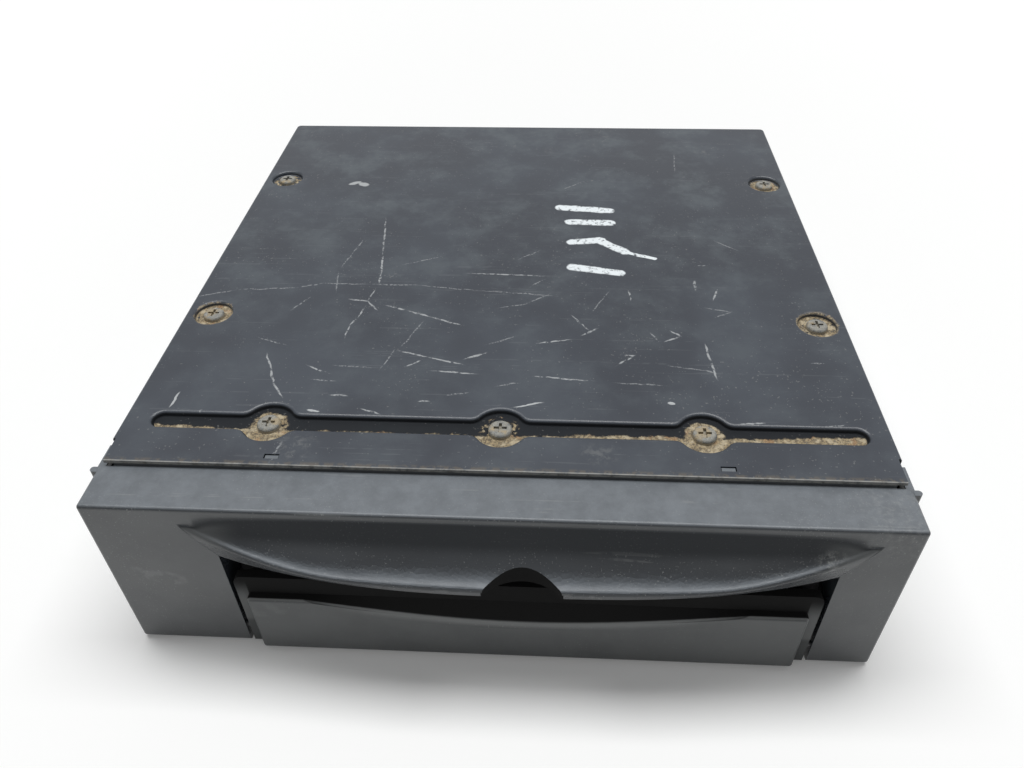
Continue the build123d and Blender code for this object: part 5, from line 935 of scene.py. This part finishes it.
class PlayerLook(bpy.types.PropertyGroup):
    """Every setting of the disc player."""

    cover: PointerProperty(type=CoverLook)
    plastic: PointerProperty(type=PlasticLook)
    metal: PointerProperty(type=MetalLook)
    board: PointerProperty(type=BoardLook)
    stage: PointerProperty(type=StageLook)


# Operators


class FinishCover(bpy.types.Operator):
    """Paint, scratches, soil and marker strokes of the cover."""

    bl_idname = "disc_player.finish_cover"
    bl_label = "Cover"

    def execute(self, context):
        cover_finish(context.scene.disc_player.cover).give("top_cover")
        return {"FINISHED"}


class FinishScrews(bpy.types.Operator):
    """Corroded cover screws and the small machine screws."""

    bl_idname = "disc_player.finish_screws"
    bl_label = "Screws"

    def execute(self, context):
        look = context.scene.disc_player
        screw_finish(look.cover).give("cover_screws", "board_screws")
        tone = look.metal.black_screw
        turned_finish("black_screws", tone, scaled(tone, 1.6), "z", 0.42).give(
            "bezel_screws", "damper_screws", "top_plate_screws", "flap_hinge_pins")
        return {"FINISHED"}


class FinishFront(bpy.types.Operator):
    """Fascia, flap, bezel, eject button and light pipe."""

    bl_idname = "disc_player.finish_front"
    bl_label = "Front"

    def execute(self, context):
        look = context.scene.disc_player.plastic
        fascia_finish(look).give("fascia")
        flap_finish(look).give("flap_door")
        moulded_finish("inner_plastic", look.inner, scaled(look.inner, 1.4), look.dust, dusting=0.25,
                       roughness=0.5).give("slot_bezel", "disc_guide", "rod_holders", "eject_switch")
        moulded_finish("button_plastic", look.button, scaled(look.button, 1.2), look.dust, dusting=0.1,
                       roughness=0.22, fine=1.2, relief=0.006).give("eject_button")
        felt_finish(look.felt).give("slot_felts")
        clear_finish(look.pipe, look.pipe_milk).give("led_light_pipe")
        return {"FINISHED"}


class FinishChassis(bpy.types.Operator):
    """Folded zinc-plated sheet of the case and the drive."""

    bl_idname = "disc_player.finish_chassis"
    bl_label = "Chassis and deck"

    def execute(self, context):
        look = context.scene.disc_player.metal
        chassis_finish(look).give("lower_chassis")
        sheet_finish("zinc_plate", look.zinc, look.zinc_dull).give(
            "front_crossbar", "drive_deck", "drive_top_plate", "clamp_arm", "cam_slider")
        sheet_finish("drawn_can", look.can, scaled(look.can, 0.7), (2.0, 0.2, 2.0), 0.3).give(
            "loading_motor", "spindle_stator", "sled_motor", "clamper_magnet", "gps_module")
        return {"FINISHED"}


class FinishMotion(bpy.types.Operator):
    """Shafts, pins, rollers, gears, levers and the clamper."""

    bl_idname = "disc_player.finish_motion"
    bl_label = "Moving pieces"

    def execute(self, context):
        look = context.scene.disc_player
        steel = look.metal.steel
        dull = scaled(steel, 0.75)
        for axis, rough, *names in (
                ("x", 0.2, "roller_shaft", "gear_pins", "clamp_arm_pivots", "clamp_arm_pin"),
                ("y", 0.2, "guide_rods"), ("z", 0.22, "guide_rivets", "spindle_rotor")):
            turned_finish("ground_steel_" + axis, steel, dull, axis, rough).give(*names)
        brass = look.metal.brass
        turned_finish("turned_brass", brass, scaled(brass, 0.72), "z", 0.3).give(
            "damper_posts", "loading_pinion", "sled_pinion", "board_standoffs", "antenna_socket")
        rubber_finish("soft_rubber", look.plastic.rubber, look.plastic.dust).give(
            "damper_grommets", "rubber_rollers")
        natural = look.plastic.acetal
        acetal_finish("natural_acetal", natural, scaled(natural, 0.88)).give(
            "roller_gear", "loading_idler", "sled_rack", "sled_gear")
        black = look.plastic.black_acetal
        acetal_finish("black_acetal", black, scaled(black, 1.4)).give(
            "roller_bushings", "disc_lever_left", "disc_lever_right", "turntable", "lens_holder", "clamper")
        alloy = look.metal.alloy
        sheet_finish("cast_alloy", alloy, scaled(alloy, 0.8), (1.0, 1.0, 1.0), 0.5, 0.05).give(
            "pickup_sled")
        glass_finish(look.plastic.lens, look.plastic.lens_dust).give("objective_lens")
        return {"FINISHED"}


class FinishElectronics(bpy.types.Operator):
    """Boards, chips, capacitors, ribbon and rear sockets."""

    bl_idname = "disc_player.finish_electronics"
    bl_label = "Electronics"

    def execute(self, context):
        look = context.scene.disc_player.board
        board_finish(look).give("main_board", "front_board")
        chip_finish(look.resin, look.resin_bloom).give("board_chips")
        can = context.scene.disc_player.metal.can
        capacitor_finish(look.sleeve, look.stripe, can).give("board_capacitors")
        ribbon_finish(look.ribbon, look.ribbon_tired).give("drive_ribbon")
        dust = context.scene.disc_player.plastic.dust
        moulded_finish("socket_plastic", look.socket, scaled(look.socket, 1.3), dust, dusting=0.15,
                       roughness=0.45, fine=4.0).give("power_connector", "av_connector")
        return {"FINISHED"}


def lay_table(scene, look):
    """The white table under the player."""
    mesh = bpy.data.meshes.new("table_top")
    shape = bmesh.new()
    bmesh.ops.create_grid(shape, x_segments=1, y_segments=1, size=TABLE_REACH)
    shape.to_mesh(mesh)
    shape.free()
    table = bpy.data.objects.new("table_top", mesh)
    mesh.materials.append(floor_finish(look))
    scene.collection.objects.link(table)


def light_world(scene, look):
    """Surroundings that look pale but give little light."""
    scene.world = bpy.data.worlds.new("studio")
    scene.world.use_nodes = True
    tree = scene.world.node_tree
    inputs = tree.nodes["Background"].inputs
    feed(tree, inputs["Color"], (1.0, 1.0, 1.0, 1.0))
    pale = times(tree, seen_rays(tree), look.backdrop_white)
    feed(tree, inputs["Strength"], larger(tree, pale, look.world_level))


def hang_softbox(scene, look):
    """A large rectangular lamp that faces down, bright enough to light what lies under it to a level."""
    data = bpy.data.lights.new("softbox", "AREA")
    data.shape = "RECTANGLE"
    data.size, data.size_y = look.softbox_size
    data.energy = look.softbox_level * WIDE_LAMP_LOSS * (math.pi * look.softbox_place[2]) ** 2
    lamp = bpy.data.objects.new("softbox", data)
    scene.collection.objects.link(lamp)
    lamp.location = look.softbox_place


def place_camera(scene, look):
    """The camera at the photograph's angle."""
    data = bpy.data.cameras.new("camera")
    data.sensor_width = SENSOR_WIDTH
    data.lens = look.focal
    data.clip_start = 0.01
    camera = bpy.data.objects.new("camera", data)
    scene.collection.objects.link(camera)
    turn = Vector(look.camera_turn)
    rows = Matrix.Rotation(turn.length, 3, turn) @ Matrix(((1, 0, 0), (0, 0, -1), (0, 1, 0)))
    pose = Matrix((rows[0], -rows[1], -rows[2])).transposed().to_4x4()
    pose.translation = look.camera_place
    camera.matrix_world = pose
    scene.camera = camera
    scene.view_settings.view_transform = "Standard"


class BuildStage(bpy.types.Operator):
    """White table, soft studio light and the camera at the photograph's angle."""

    bl_idname = "disc_player.build_stage"
    bl_label = "Stage"

    def execute(self, context):
        for build in (lay_table, light_world, hang_softbox, place_camera):
            build(context.scene, context.scene.disc_player.stage)
        return {"FINISHED"}


OPERATORS = (FinishCover, FinishScrews, FinishFront, FinishChassis, FinishMotion, FinishElectronics,
             BuildStage)


class PlayerPanel(bpy.types.Panel):
    """Buttons that dress the disc player, and their colours."""

    bl_idname = "VIEW3D_PT_disc_player"
    bl_label = "Disc Player"
    bl_space_type = "VIEW_3D"
    bl_region_type = "UI"
    bl_category = "Disc Player"

    def draw(self, context):
        for operator in OPERATORS:
            self.layout.operator(operator.bl_idname)
        look = context.scene.disc_player
        for part in (look.cover, look.plastic, look.metal, look.board, look.stage):
            column = self.layout.column()
            for name in part.__annotations__:
                column.prop(part, name)


CLASSES = (CoverLook, PlasticLook, MetalLook, BoardLook, StageLook, PlayerLook, *OPERATORS, PlayerPanel)


def register():
    """Registers the settings, operators and panel."""
    for item in CLASSES:
        bpy.utils.register_class(item)
    bpy.types.Scene.disc_player = PointerProperty(type=PlayerLook)


def unregister():
    """Removes what register added."""
    del bpy.types.Scene.disc_player
    for item in reversed(CLASSES):
        bpy.utils.unregister_class(item)


def main():
    """Dresses the player."""
    register()
    build_groups()
    for operator in OPERATORS:
        group, name = operator.bl_idname.split(".")
        getattr(getattr(bpy.ops, group), name)()


if __name__ == "__main__":
    main()
